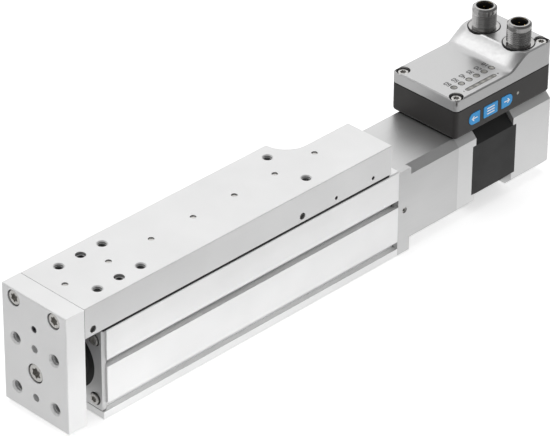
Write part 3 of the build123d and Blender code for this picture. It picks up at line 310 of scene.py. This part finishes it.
# %% Silver lacquer on the die-cast cover
def hollow(tree, low, high, depth):
    """A height that dips by depth half-way up a slope between two heights, and nowhere else."""
    place = add(tree, "TexCoord")
    parts = add(tree, "SeparateXYZ")
    join(tree, place, "Object", parts, "Vector")
    share = add(tree, "MapRange", {"From Min": low, "From Max": high})
    join(tree, parts, "Z", share, "Value")
    rest = add(tree, "Math", {0: 1.0}, operation="SUBTRACT")
    join(tree, share, "Result", rest, 1)
    dip = add(tree, "Math", operation="MULTIPLY")
    join(tree, share, "Result", dip, 0)
    join(tree, rest, "Value", dip, 1)
    faces = add(tree, "NewGeometry")
    level = add(tree, "SeparateXYZ")
    join(tree, faces, "True Normal", level, "Vector")
    # upright walls stay straight: only faces that look upward are let through
    open_up = add(tree, "MapRange", {"From Min": 0.35, "From Max": 0.60})
    join(tree, level, "Z", open_up, "Value")
    kept = add(tree, "Math", operation="MULTIPLY")
    join(tree, dip, "Value", kept, 0)
    join(tree, open_up, "Result", kept, 1)
    # half-way up the product is a quarter
    height = add(tree, "Math", {1: -4 * depth}, operation="MULTIPLY")
    join(tree, kept, "Value", height, 0)
    return height


def lacquer(name, colour, roughness, ramp):
    """Metal flakes under a clear coat, with a hollow ramp given as foot, head and depth."""
    material, tree, shader = new_material(name)
    shader.inputs["Metallic"].default_value = 0.9
    shader.inputs["Coat Weight"].default_value = 0.15
    shader.inputs["Coat Roughness"].default_value = 0.30
    flakes = noise(tree, 9000, detail=1)
    tone = mottle(tree, flakes, grey(colour * 0.95), grey(colour * 1.04))
    # painted shade: the lacquer's colour is darkened in narrow gaps
    paint_gap_shade(tree, tone, shader, 0.0006)
    swell = noise(tree, 700, detail=2)
    vary_gloss(tree, swell, shader, roughness - 0.03, roughness + 0.04)
    curved = bump(tree, hollow(tree, *ramp), "Value", shader, 1.0, below=soft_edge(tree, 0.0003))
    bump(tree, swell, "Fac", shader, 0.000004, 0.3, below=curved)
    return material


ramp_foot, ramp_head, ramp_hollow = 0.0674, 0.0741, 0.00033
looks["box_silver"] = lacquer("box_silver", 0.55, 0.32, ramp=(ramp_foot, ramp_head, ramp_hollow))
print("ramp", round((ramp_head - ramp_foot) * 1000, 1), "mm high, hollow by", ramp_hollow * 1000, "mm")

# %% [markdown]
# ## Black laminations
# The motor's middle is a stack of thin steel sheets, painted black and pressed together. Seen
# close, the sheets show as fine lines. A wave texture along the motor's axis gives one line per
# half millimetre, and it only moves the normal, so the stack keeps its flat outline. A wave of
# scale 1 repeats every 0.314 m, from which the scale for a pitch follows.

# %% Lamination stack
def laminated(name, colour, sheet):
    """A stack of sheets across X, each so many metres thick."""
    material, tree, shader = new_material(name)
    shader.inputs["Metallic"].default_value = 0.2
    place = add(tree, "TexCoord")
    wave = add(tree, "TexWave", {"Scale": 1 / (sheet * 3.2), "Distortion": 0.4, "Detail": 2.0},
               wave_type="BANDS", bands_direction="X", wave_profile="SIN")
    join(tree, place, "Object", wave, "Vector")
    patches = noise(tree, 90, detail=3)
    tone = mottle(tree, patches, grey(colour * 0.8), grey(colour * 1.25))
    join(tree, tone, "Result", shader, "Base Color")
    vary_gloss(tree, patches, shader, 0.42, 0.56)
    bump(tree, wave, "Fac", shader, 0.00002, 0.5, below=soft_edge(tree, 0.0002))
    return material


sheet_thickness = 0.0005
looks["stack_black"] = laminated("stack_black", 0.011, sheet_thickness)
looks["rotor_steel"] = laminated("rotor_steel", 0.22, sheet_thickness)

# %% [markdown]
# ## Turned, ground and plated metal
# Screws, sockets and connector shells are turned on a lathe and plated. The tool leaves rings
# round the axis, so the noise is squeezed along it. Nickel is a little warm, and ground steel a
# little cold.

# %% Bright metals
def bright_metal(name, colour, roughness, stretch=(1, 1, 1), scale=1200):
    """Bare or plated metal, with tool marks that follow the stretch."""
    material, tree, shader = new_material(name)
    shader.inputs["Metallic"].default_value = 1.0
    rings = noise(tree, scale, stretch, detail=3)
    tone = mottle(tree, rings, *tints(colour, 0.9, 1.07))
    join(tree, tone, "Result", shader, "Base Color")
    vary_gloss(tree, rings, shader, roughness - 0.05, roughness + 0.08)
    bump(tree, rings, "Fac", shader, 0.000004, 0.5, below=soft_edge(tree, 0.0001))
    return material


looks["nickel"] = bright_metal("nickel", (0.46, 0.455, 0.45), 0.13, (0.1, 0.1, 4), scale=900)
looks["steel_screw"] = bright_metal("steel_screw", (0.60, 0.59, 0.57), 0.30)
looks["steel_ground"] = bright_metal("steel_ground", (0.58, 0.58, 0.60), 0.22, (5, 0.2, 0.2))
looks["dome_steel"] = bright_metal("dome_steel", (0.62, 0.62, 0.60), 0.2)
looks["coupling_alloy"] = bright_metal("coupling_alloy", (0.68, 0.68, 0.70), 0.3, (6, 0.2, 0.2))
looks["contact_gold"] = bright_metal("contact_gold", (0.80, 0.58, 0.24), 0.2)
looks["bush_bronze"] = bright_metal("bush_bronze", (0.55, 0.36, 0.18), 0.35)
looks["copper_wire"] = bright_metal("copper_wire", (0.60, 0.24, 0.10), 0.35, (0.3, 4, 4))
looks["magnet_dark"] = bright_metal("magnet_dark", (0.07, 0.07, 0.075), 0.5)

# %% [markdown]
# ## Keys and lights
# The keys are a printed film: blue with a faint weave of the print, under a gloss layer. The
# black and white inks of the signs are the same kind of print, so they share the recipe.

# %% Key film
def printed_film(name, colour):
    """Ink with a faint weave under a gloss layer."""
    material, tree, shader = new_material(name)
    shader.inputs["Coat Weight"].default_value = 0.4
    shader.inputs["Coat Roughness"].default_value = 0.15
    dots = noise(tree, 2500, detail=1)
    tone = mottle(tree, dots, *tints(colour, 0.9, 1.1))
    join(tree, tone, "Result", shader, "Base Color")
    vary_gloss(tree, dots, shader, 0.33, 0.42)
    bump(tree, dots, "Fac", shader, 0.000004, 0.4, below=soft_edge(tree, 0.0002))
    return material


looks["key_blue"] = printed_film("key_blue", (0.006, 0.29, 0.68))
print_white = printed_film("print_white", (0.86, 0.87, 0.88))
# black ink for the numbers and signs, also used for the rims of painted shade round the lenses
black_print_and_shade = printed_film("black_print_and_shade", (0.025, 0.025, 0.026))
print("prints", [film.name for film in (looks["key_blue"], print_white, black_print_and_shade)])

# %% [markdown]
# The lights are frosted lenses, unlit, over a dark board. The bar has several lamps behind one
# lens, so its colour changes in steps along its length: a soft wave along X, one for each lamp.

# %% Frosted lenses
def frosted(name, colour, lamp_pitch):
    """A hazy lens whose tone steps with the lamps behind it."""
    material, tree, shader = new_material(name)
    place = add(tree, "TexCoord")
    wave = add(tree, "TexWave", {"Scale": 0.314 / lamp_pitch, "Distortion": 1.5, "Detail": 1.0},
               wave_type="BANDS", bands_direction="X", wave_profile="SIN")
    join(tree, place, "Object", wave, "Vector")
    tone = shade(tree, wave, "Fac", *tints(colour, 0.62, 1.25))
    join(tree, tone, "Result", shader, "Base Color")
    vary_gloss(tree, noise(tree, 3000, detail=2), shader, 0.25, 0.38)
    shader.inputs["Transmission Weight"].default_value = 0.15
    return material


looks["lens_grey"] = frosted("lens_grey", (0.40, 0.39, 0.36), lamp_pitch=0.0042)
print("finishes", len(looks))

# %% [markdown]
# ## Dress the solids
# Each solid of the frame names its material slot in the record. A CAD object keeps its shape,
# and only the material in its slots is changed. The yoke plate comes from another bath than the
# table and is a little paler, so it gets a finish of its own under the same slot name.

# %% Give every solid its finish
finishes_by_node = {"yoke_plate": anodised("yoke_anodised", 0.86, 0.42, 0.50, line_scale=1600)}
slot_of = {part["node"]: part["material_slot"] for part in record["subparts"]}
for name, node in nodes.items():
    finish = finishes_by_node.get(name, looks[slot_of[name]])
    if not node.material_slots:
        node.data.materials.append(finish)
    for place in node.material_slots:
        place.material = finish
missing = [name for name in nodes if slot_of[name] not in looks]
print("dressed", len(nodes), "missing", missing)

# %% [markdown]
# ## Making new pieces
# The prints and the threads are meshes of their own. One helper turns points and faces into an
# object, gives it a material and lets it ride on the body that carries it.

# %% Helper for new pieces
def make_piece(name, points, faces, finish, body):
    """An object with flat faces that looks outward everywhere and rides on a body."""
    mesh = bpy.data.meshes.new(name)
    mesh.from_pydata([tuple(p) for p in points], [], faces)
    tool = bmesh.new()
    tool.from_mesh(mesh)
    bmesh.ops.recalc_face_normals(tool, faces=tool.faces)
    tool.to_mesh(mesh)
    tool.free()
    mesh.materials.append(finish)
    for face in mesh.polygons:
        face.use_smooth = False
    piece = bpy.data.objects.new(name, mesh)
    bpy.context.collection.objects.link(piece)
    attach(piece, body)
    return piece


# %% [markdown]
# ## Threads in the holes
# A tapped hole shows its thread as fine bright and dark rings. The solids have plain holes at
# the tapping size, which is what a fit needs, so the thread is added as a helical ridge that
# stands a little into the hole. One turn is cut into steps, each step is a small triangle, and
# neighbouring triangles are joined by faces.

# %% Helical ridges
def thread_ridge(mouth, axis, radius, pitch, start, depth):
    """Points and faces of a ridge that winds down a hole from its mouth."""
    inward = -axis.normalized()
    side = inward.orthogonal().normalized()
    other = inward.cross(side)
    steps = 20                           # to each turn
    height = pitch * 0.30                # half the ridge's foot
    crest = radius - pitch * 0.34
    root = radius + 0.00004              # the foot lies a little inside the wall
    count = int((depth - start) / pitch * steps)
    points, faces = [], []
    for k in range(count + 1):
        angle = 2 * pi * k / steps
        out = side * cos(angle) + other * sin(angle)
        centre = mouth + inward * (start + pitch * k / steps)
        points.append(centre + out * root - inward * height)
        points.append(centre + out * crest)
        points.append(centre + out * root + inward * height)
        if k:
            a, b = 3 * (k - 1), 3 * k
            for i, j in ((0, 1), (1, 2), (2, 0)):
                faces.append((a + i, b + i, b + j, a + j))
    faces.append((0, 1, 2))
    faces.append((3 * count, 3 * count + 2, 3 * count + 1))
    return points, faces


# %% [markdown]
# The record lists each hole pattern with its centre, its axis and its spacings, so the threads
# find their holes without a second list of numbers.

# %% Wind the visible threads
def pattern_points(mount):
    """The hole centres of a pattern: the spacings lie along the two axes across the hole axis."""
    axis = Vector(mount["axis"])
    across = [Vector(v) for v in ((1, 0, 0), (0, 1, 0), (0, 0, 1)) if abs(axis.dot(Vector(v))) < 0.5]
    first = mount["dims"].get("spacing_x_mm", 0) / 2000     # half a spacing, in metres
    second = mount["dims"].get("spacing_y_mm", 0) / 2000
    centre = Vector(mount["pos_m"])
    places = {}
    for s in (-1, 1):
        for t in (-1, 1):
            spot = centre + across[0] * first * s + across[1] * second * t
            places[tuple(round(v, 6) for v in spot)] = spot
    return list(places.values())


thread_sizes = {                         # body, pitch and depth in metres
    "yoke_threads": ("slide", 0.0010, 0.0098),
    "table_threads_front": ("slide", 0.0008, 0.0080),
    "table_threads_rear": ("slide", 0.0008, 0.0080),
    "base_threads": ("housing", 0.0008, 0.0080),
}
mounts = {mount["name"]: mount for mount in record["mounts"]}
for name, (body, pitch, depth) in thread_sizes.items():
    mount = mounts[name]
    centres = pattern_points(mount)
    hole_r = mount["dims"]["hole_r_mm"] / 1000
    points, faces = [], []
    for spot in centres:
        some, loops = thread_ridge(spot, Vector(mount["axis"]), hole_r, pitch, pitch * 0.45, depth)
        faces += [tuple(i + len(points) for i in loop) for loop in loops]
        points += some
    slot = "profile_anodised" if body == "housing" else "table_anodised"
    make_piece("thread_" + name, points, faces, looks[slot], body)
    print(name, "ridges", len(centres))

# %% [markdown]
# ## Printed signs
# Prints are a few hundredths of a millimetre of ink. They are flat outlines, drawn as polygons
# that stand 0.04 mm proud of the surface, so they exist as geometry and not only as colour. The
# outlines are drawn in millimetres in the plane of the surface.

# %% Flat ink from outlines
def ink(name, outlines, place, finish, body):
    """Thin plates from outlines in millimetres, put in place by a matrix (z is outward)."""
    thickness = 0.00004                  # above the surface, and as much below
    points, faces = [], []
    for outline in outlines:
        first = len(points)
        count = len(outline)
        for z in (-thickness, thickness):
            points += [place @ Vector((x / 1000, y / 1000, z)) for x, y in outline]
        faces.append(tuple(first + count + k for k in range(count)))
        faces.append(tuple(first + k for k in reversed(range(count))))
        for k in range(count):
            n = (k + 1) % count
            faces.append((first + k, first + n, first + count + n, first + count + k))
    return make_piece(name, points, faces, finish, body)


def bar(x0, y0, x1, y1, width):
    """The outline of a straight stroke."""
    along = Vector((x1 - x0, y1 - y0)).normalized()
    side = Vector((-along.y, along.x)) * width / 2
    return [(x0 - side.x, y0 - side.y), (x1 - side.x, y1 - side.y),
            (x1 + side.x, y1 + side.y), (x0 + side.x, y0 + side.y)]


def face_matrix(spot, across, upward):
    """A matrix whose x and y lie in the surface and whose z points outward."""
    across, upward = Vector(across), Vector(upward)
    outward = across.cross(upward)
    turn = Matrix((across, upward, outward)).transposed().to_4x4()
    return Matrix.Translation(spot) @ turn


# %% [markdown]
# The arrows on the outer keys are one outline each, a shaft with a chevron at its end. The middle
# key carries three bars, the common sign for a menu.

# %% Signs on the keys
def arrow(direction):
    """One closed outline, so no two plates of ink lie in each other."""
    tip, half, back = 2.0, 0.3, 1.45
    slant, inner = half * 2 ** 0.5, half * 2 * 2 ** 0.5
    upper = [(tip - back, back), (tip - back - slant, back - slant),
             (tip - inner - half, half), (-tip, half)]
    outline = [(tip, 0)] + upper + [(x, -y) for x, y in reversed(upper)]
    return [[(x * direction, y) for x, y in outline]]


signs = {
    "left": arrow(-1),
    "centre": [bar(-2.6, y, 2.6, y, 0.62) for y in (-1.45, 0, 1.45)],
    "right": arrow(1),
}
for side, outlines in signs.items():
    low, high = (Vector(v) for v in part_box("key_" + side))
    spot = Vector(((low.x + high.x) / 2, low.y, (low.z + high.z) / 2))
    place = face_matrix(spot, (1, 0, 0), (0, 0, 1))
    ink("sign_" + side, outlines, place, print_white, "button_" + side)
print("key signs", len(signs))

# %% [markdown]
# The lights are numbered in tens. The digits are drawn with straight strokes on a small grid, as on a
# dial or a label machine, and they are read from the motor's end, so their tops point to the front.

# %% Numbers beside the lights
strokes = {
    "0": [(0, 0, 0, 2), (0, 2, 1, 2), (1, 2, 1, 0), (1, 0, 0, 0)],
    "1": [(0.5, 0, 0.5, 2), (0.1, 1.6, 0.5, 2)],
    "2": [(0, 2, 1, 2), (1, 2, 1, 1), (1, 1, 0, 1), (0, 1, 0, 0), (0, 0, 1, 0)],
    "3": [(0, 2, 1, 2), (1, 2, 1, 0), (0.2, 1, 1, 1), (0, 0, 1, 0)],
    "4": [(0, 2, 0, 1), (0, 1, 1, 1), (1, 2, 1, 0)],
    "5": [(1, 2, 0, 2), (0, 2, 0, 1), (0, 1, 1, 1), (1, 1, 1, 0), (1, 0, 0, 0)],
    "6": [(1, 2, 0, 2), (0, 2, 0, 0), (0, 0, 1, 0), (1, 0, 1, 1), (1, 1, 0, 1)],
}
low, high = (Vector(v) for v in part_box("status_leds"))
lens_r = (high.y - low.y) / 2
lens_y = (high.y + low.y) / 2
cover_top = high.z + 0.0001
light_count = 6
light_pitch = (high.x - low.x - 2 * lens_r) / (light_count - 1)
light_places = [Vector((low.x + lens_r + k * light_pitch, lens_y, cover_top))
                for k in range(light_count)]
digit_size, digit_step, digit_stroke = 1.15, 1.9, 0.42      # in millimetres
to_number = Vector((0.00115, 0.0026, 0))                    # from a light's middle to its number
for k, spot in enumerate(light_places):
    place = face_matrix(spot + to_number, (0, 1, 0), (-1, 0, 0))
    outlines = []
    for column, digit in enumerate("%d0" % (light_count - k)):
        shift = column * digit_step
        for x0, y0, x1, y1 in strokes[digit]:
            outlines.append(bar(x0 * digit_size + shift, y0 * digit_size,
                                x1 * digit_size + shift, y1 * digit_size, digit_stroke))
    ink("number_%d" % (light_count - k), outlines, place, black_print_and_shade, "housing")
print("numbers", light_count, "pitch", round(light_pitch * 1000, 2), "mm")

# %% [markdown]
# Each light sits in a thin black rim of painted shade, the shade of the narrow gap round its lens,
# which makes the pale lenses readable on the silver lacquer. A rim is a closed band between two
# outlines: a circle for the round lights and a circle pulled long for the bar.

# %% Rims of painted shade round the lenses
def rim(name, half_length, inner, outer, place, body):
    """A black band of painted shade round a lens: a circle, or a long one where half_length isn't
    zero.
    """
    steps = 48
    underside, top = -0.00002, 0.00004
    points, faces = [], []
    for k in range(steps):
        angle = 2 * pi * (k + 0.5) / steps
        shift = half_length if cos(angle) > 0 else -half_length
        for radius in (inner, outer):
            for z in (underside, top):
                points.append(place @ Vector((shift + radius * cos(angle), radius * sin(angle), z)))
    for k in range(steps):
        a, b = 4 * k, 4 * ((k + 1) % steps)
        for i, j in ((0, 1), (1, 3), (3, 2), (2, 0)):
            faces.append((a + i, a + j, b + j, b + i))
    # painted shade: a black band where the gap round the lens is in shade
    return make_piece(name, points, faces, black_print_and_shade, body)


rim_inner = 0.00016                      # the rims start this far outside their lenses
light_rim_outer, bar_rim_outer = 0.00042, 0.00036
for k, spot in enumerate(light_places):
    rim("shade_rim_light_%d" % (light_count - k), 0, lens_r + rim_inner, lens_r + light_rim_outer,
        Matrix.Translation(spot), "housing")
print("rims", light_count)

# %% [markdown]
# The light bar shows where the table is, so its ends carry a minus and a plus. They are short
# strokes, and the plus is two of them crossed.

# %% Signs at the ends of the light bar
low, high = (Vector(v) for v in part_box("position_bar"))
bar_y = (low.y + high.y) / 2
bar_r = (high.y - low.y) / 2
bar_middle = Matrix.Translation(Vector(((low.x + high.x) / 2, bar_y, cover_top)))
rim("shade_rim_bar", (high.x - low.x) / 2 - bar_r, bar_r + rim_inner, bar_r + bar_rim_outer,
    bar_middle, "housing")
dash, upright = bar(-0.5, 0, 0.5, 0, 0.28), bar(0, -0.5, 0, 0.5, 0.28)
sign_offset = 0.0018                     # from the bar's end to its sign
for name, x, outlines in (
    ("minus", low.x - sign_offset, [dash]),
    ("plus", high.x + sign_offset, [dash, upright]),
):
    place = face_matrix(Vector((x, bar_y, cover_top)), (0, 1, 0), (-1, 0, 0))
    ink("sign_" + name, outlines, place, black_print_and_shade, "housing")
print("bar", round((high.x - low.x) * 1000, 1), "mm long, signs 2")

# %% [markdown]
# ## Black strips of painted shade under the table
# A long black line runs between the table and the housing: the shade in the narrow gap there. It
# is painted with two thin black strips on the housing's upper edge. Each strip is a long
# band with a soft outer edge, made from a small section that is swept along the housing. It ends
# just before the table's rear edge, where the photograph's line thins out.

# %% Two black strips of painted shade
low, high = (Vector(v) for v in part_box("housing_profile"))
edge_bevel = 0.0006                      # the housing's upper edges are bevelled by this much
strip_out, strip_in, strip_high = 0.00025, 0.0022, 0.00055
strip_soft, strip_lap, strip_sink = 0.00015, 0.00005, 0.00002


def strip_section(side):
    """The strip's section as (y, z): it lies on the housing's top and laps over the bevel."""
    outer, inner = high.y - strip_out, high.y - strip_in
    foot = high.z - (edge_bevel - strip_out)
    top, bottom = high.z + strip_high, high.z - strip_sink
    return [(side * y, z) for y, z in (
        (outer - strip_lap, foot - strip_lap), (outer, foot), (outer, top - strip_soft),
        (outer - strip_soft, top), (inner, top), (inner, bottom), (high.y - edge_bevel, bottom))]


table_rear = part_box("slide_table")[1][0]
front_gap, rear_gap = 0.0005, 0.0015
strip_x = (low.x + front_gap, table_rear - rear_gap)
for name, side in (("near", -1), ("far", 1)):
    section = strip_section(side)
    points = [Vector((x, y, z)) for x in strip_x for y, z in section]
    count = len(section)
    faces = [tuple(range(count)), tuple(range(2 * count - 1, count - 1, -1))]
    faces += [(k, (k + 1) % count, count + (k + 1) % count, count + k) for k in range(count)]
    # painted shade: a black strip stands for the shade in the gap under the table
    make_piece("shade_strip_" + name, points, faces, looks["black_seal"], "housing")
print("shade strips", round((strip_x[1] - strip_x[0]) * 1000, 1), "mm long")

# %% [markdown]
# ## The black set screw in the yoke plate
# The upper small hole of the yoke plate looks black in the photograph: a short set screw with a
# hexagon socket closes it. It is a disc with a six-sided pit, built ring by ring from its rim to
# the floor of the pit, so all its faces are quads and one polygon.

# %% Set screw
def set_screw(place, radius, socket, pit, sunk, body):
    """A round plug with a hexagon pit, looking along z of its matrix."""
    steps = 24
    chamfer, side_wall = 0.0002, 0.0006
    points, faces = [], []

    def ring(size, depth, hexagon=False):
        """Points round the axis, on a circle or on a hexagon with corners at that size."""
        for k in range(steps):
            angle = 2 * pi * k / steps
            reach = size
            if hexagon:
                part = (angle + pi / 6) % (pi / 3) - pi / 6
                reach = size * cos(pi / 6) / cos(part)
            points.append(place @ Vector((reach * cos(angle), reach * sin(angle), depth)))

    ring(radius, -sunk - side_wall)
    ring(radius, -sunk - chamfer)
    ring(radius - chamfer, -sunk)
    ring(socket, -sunk, hexagon=True)
    ring(socket, -sunk - pit, hexagon=True)
    for r in range(4):
        for k in range(steps):
            n = (k + 1) % steps
            faces.append((r * steps + k, r * steps + n, (r + 1) * steps + n, (r + 1) * steps + k))
    faces.append(tuple(4 * steps + k for k in range(steps)))
    return make_piece("jack_set_screw", points, faces, looks["magnet_dark"], body)


low, high = (Vector(v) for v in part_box("yoke_plate"))
jack_drop = 0.0150                       # from the yoke's top to its small upper hole
jack_spot = Vector((low.x, 0, high.z - jack_drop))
set_screw(face_matrix(jack_spot, (0, -1, 0), (0, 0, 1)),
          radius=0.00166, socket=0.0008, pit=0.0007, sunk=0.0003, body="slide")
print("set screw at", [round(v * 1000, 1) for v in jack_spot])

# %% [markdown]
# ## The floor
# The photograph shows the slide on plain white. The floor is a large pale plane. Seen directly
# it is lifted to white with a little emission, while the lamps still leave the object's soft
# shadow on it. The metal doesn't mirror the floor itself but the white studio of the next step.

# %% The pale floor
def floor_material():
    """Pale paper that is lifted to white where the camera sees it directly."""
    material, tree, shader = new_material("floor_paper")
    shader.inputs["Roughness"].default_value = 0.9
    tone = mottle(tree, noise(tree, 700, detail=3), grey(0.86), grey(0.90))
    join(tree, tone, "Result", shader, "Base Color")
    rays = add(tree, "LightPath")
    lift = add(tree, "Math", {1: 0.55}, operation="MULTIPLY")
    join(tree, rays, "Is Camera Ray", lift, 0)
    shader.inputs["Emission Color"].default_value = grey(1)
    join(tree, lift, "Value", shader, "Emission Strength")
    return material


def flat_sheet(name, low, high, z):
    """A level rectangle between two corners."""
    mesh = bpy.data.meshes.new(name)
    (x0, y0), (x1, y1) = low, high
    mesh.from_pydata([(x0, y0, z), (x1, y0, z), (x1, y1, z), (x0, y1, z)], [], [(0, 1, 2, 3)])
    return mesh


floor_half, floor_z = 3.0, -0.0002
floor_mesh = flat_sheet("floor", (-floor_half, -floor_half), (floor_half, floor_half), floor_z)
floor_mesh.materials.append(floor_material())
floor = bpy.data.objects.new("floor", floor_mesh)
floor.visible_glossy = False
bpy.context.collection.objects.link(floor)
print("floor", 2 * floor_half, "m wide")

# %% [markdown]
# ## A studio of soft boxes
# Metal is only as good as what it reflects. A photographer hangs white boxes and leaves dark
# gaps between them, so each face of the object gets its own tone. The same can be done without
# any picture: the world's direction is compared with the direction of each box, and the closer
# they are, the brighter the world is. Rays from the camera and through the lenses see plain
# white, and diffuse rays a calm even level.

# %% World with soft boxes
world = bpy.data.worlds.new("studio")
world.use_nodes = True
bpy.context.scene.world = world
tree = world.node_tree
sky = tree.nodes["Background"]
sky.inputs["Color"].default_value = grey(1)
direction = add(tree, "TexCoord")


def soft_box(below, towards, near, far, strength):
    """Adds a bright patch round a direction on top of the brightness so far."""
    dot = add(tree, "VectorMath", {1: Vector(towards).normalized()}, operation="DOT_PRODUCT")
    join(tree, direction, "Generated", dot, 0)
    patch = add(tree, "MapRange", {"From Min": far, "From Max": near, "To Max": strength},
                interpolation_type="SMOOTHSTEP")
    join(tree, dot, "Value", patch, "Value")
    total = add(tree, "Math", operation="ADD")
    join(tree, below, "Value", total, 0)
    join(tree, patch, "Result", total, 1)
    return total


dark_level, diffuse_level, white_level = 0.16, 0.40, 1.0
studio = add(tree, "Math", {0: dark_level, 1: 0.0}, operation="ADD")
# each box: its direction, the cosines where it is full and where it ends, its strength
boxes = (
    ((0.50, 0.63, 0.60), 0.86, 0.50, 1.02),       # behind and above, for the top faces
    ((0.60, -0.60, -0.54), 0.90, 0.45, 0.80),     # low on the keys' side
    ((-0.60, 0.60, -0.54), 0.90, 0.50, 0.62),     # low on the yoke's side
    ((-0.95, -0.1, 0.30), 0.92, 0.70, 0.35),      # a card beside the camera
    ((-0.22, 0.59, 0.776), 0.998, 0.979, 2.1),    # a narrow bright strip for the ramp
    ((-0.45, 0.59, 0.67), 0.985, 0.93, 0.50),     # the softer light above that strip
    ((-0.60, -0.60, -0.54), 0.990, 0.960, 0.60),  # a streak for round parts and upright corners
    ((0.60, -0.54, 0.59), 0.97, 0.80, 0.02),      # a dim one for the long chamfers
)
for towards, near, far, strength in boxes:
    studio = soft_box(studio, towards, near, far, strength)

rays = add(tree, "LightPath")
for_metal = add(tree, "Mix", {"A": diffuse_level}, data_type="FLOAT")
join(tree, rays, "Is Glossy Ray", for_metal, "Factor")
join(tree, studio, "Value", for_metal, "B")
for_camera = add(tree, "Mix", {"B": white_level}, data_type="FLOAT")
through = add(tree, "Math", operation="ADD", use_clamp=True)
join(tree, rays, "Is Camera Ray", through, 0)
join(tree, rays, "Is Transmission Ray", through, 1)
join(tree, through, "Value", for_camera, "Factor")
join(tree, for_metal, "Result", for_camera, "A")
join(tree, for_camera, "Result", sky, "Strength")
print("soft boxes", len(boxes))

# %% [markdown]
# ## A grey table beyond the white paper
# Faces that look to the keys' side mirror the ground, because the camera looks down on them. In
# the photograph their upper parts are darker than their lower parts: the white ground near the
# slide is followed by a darker one further out. A large card just under the floor does the same.
# Only glossy rays see it, so it colours reflections and nothing else, and its tone falls softly
# from white to grey with the distance.

# %% The dark card in the reflections
def card_step(tree, parts, axis, start, end, low, high):
    """A smooth step from low to high between two places along an axis, in metres."""
    step = add(tree, "MapRange", {"From Min": start, "From Max": end}, interpolation_type="SMOOTHSTEP")
    join(tree, parts, axis, step, "Value")
    level = add(tree, "MapRange", {"To Min": low, "To Max": high})
    join(tree, step, "Result", level, "Value")
    return level


def card_material(near_y, far_y, near_tone, far_tone, lift, lift_from, lift_to):
    """Emission that falls from near_tone to far_tone with the distance, by lift less at the rear."""
    material, tree, shader = new_material("reflection_card")
    place = add(tree, "TexCoord")
    parts = add(tree, "SeparateXYZ")
    join(tree, place, "Object", parts, "Vector")
    fall = card_step(tree, parts, "Y", near_y, far_y, 0, 1)
    full_drop = near_tone - far_tone
    depth = card_step(tree, parts, "X", lift_from, lift_to, full_drop, full_drop - lift)
    drop = add(tree, "Math", operation="MULTIPLY")
    join(tree, fall, "Result", drop, 0)
    join(tree, depth, "Result", drop, 1)
    tone = add(tree, "Math", {0: near_tone}, operation="SUBTRACT")
    join(tree, drop, "Value", tone, 1)
    glow = add(tree, "Emission", {"Color": grey(1)})
    join(tree, tone, "Value", glow, "Strength")
    output = tree.nodes["Material Output"]
    join(tree, glow, "Emission", output, "Surface")
    return material


card_start, card_z = -0.060, -0.0006     # the card begins beside the slide, under the floor
card_mesh = flat_sheet("reflection_card", (-0.3, -1.2), (1.2, card_start), card_z)
card_mesh.materials.append(card_material(
    near_y=card_start, far_y=-0.085, near_tone=0.94, far_tone=0.22,
    lift=0.42, lift_from=-0.01, lift_to=0.11))
card = bpy.data.objects.new("reflection_card", card_mesh)
bpy.context.collection.objects.link(card)
for ray_kind in ("camera", "diffuse", "transmission", "volume_scatter", "shadow"):
    setattr(card, "visible_" + ray_kind, False)
print("card from y", card_start, "m outward")

# %% [markdown]
# ## Lamps
# Three large lamps give the diffuse surfaces their direction: one above, one from the side of
# the keys and a weak one from the yoke's side, so top, side and front differ in tone as they do
# in the photograph. They are large, so their shadows are soft. A small fourth lamp stands low
# beside the slide and brightens the near side of the yoke.

# %% Lamps
def soft_lamp(name, place, size, power, target=(0.04, 0, 0.03)):
    """A square area lamp that looks at a point of the object."""
    lamp = bpy.data.lights.new(name, "AREA")
    lamp.shape = "SQUARE"
    lamp.size = size
    lamp.energy = power
    holder = bpy.data.objects.new(name, lamp)
    bpy.context.collection.objects.link(holder)
    holder.location = place
    holder.rotation_euler = (Vector(target) - Vector(place)).to_track_quat("-Z", "Y").to_euler()
    holder.visible_glossy = False
    holder.visible_camera = False
    return holder


lamps = [
    soft_lamp("lamp_above", (0.2, 0.3, 1.5), size=1.2, power=8.6),
    soft_lamp("lamp_keys", (0.3, -1.5, 0.45), size=1.0, power=5.2),
    soft_lamp("lamp_yoke", (-1.5, 0.1, 0.6), size=0.8, power=1.5),
    soft_lamp("lamp_low", (-0.11, -0.22, 0.01), size=0.10, power=0.36, target=(-0.10, 0, 0.05)),
]
print("lamps", len(lamps))

# %% [markdown]
# ## The view transform
# The one render setting that belongs to the scene is the plain view transform, which leaves the
# white of the paper white.

# %% Set the view transform
bpy.context.scene.view_settings.view_transform = "Standard"
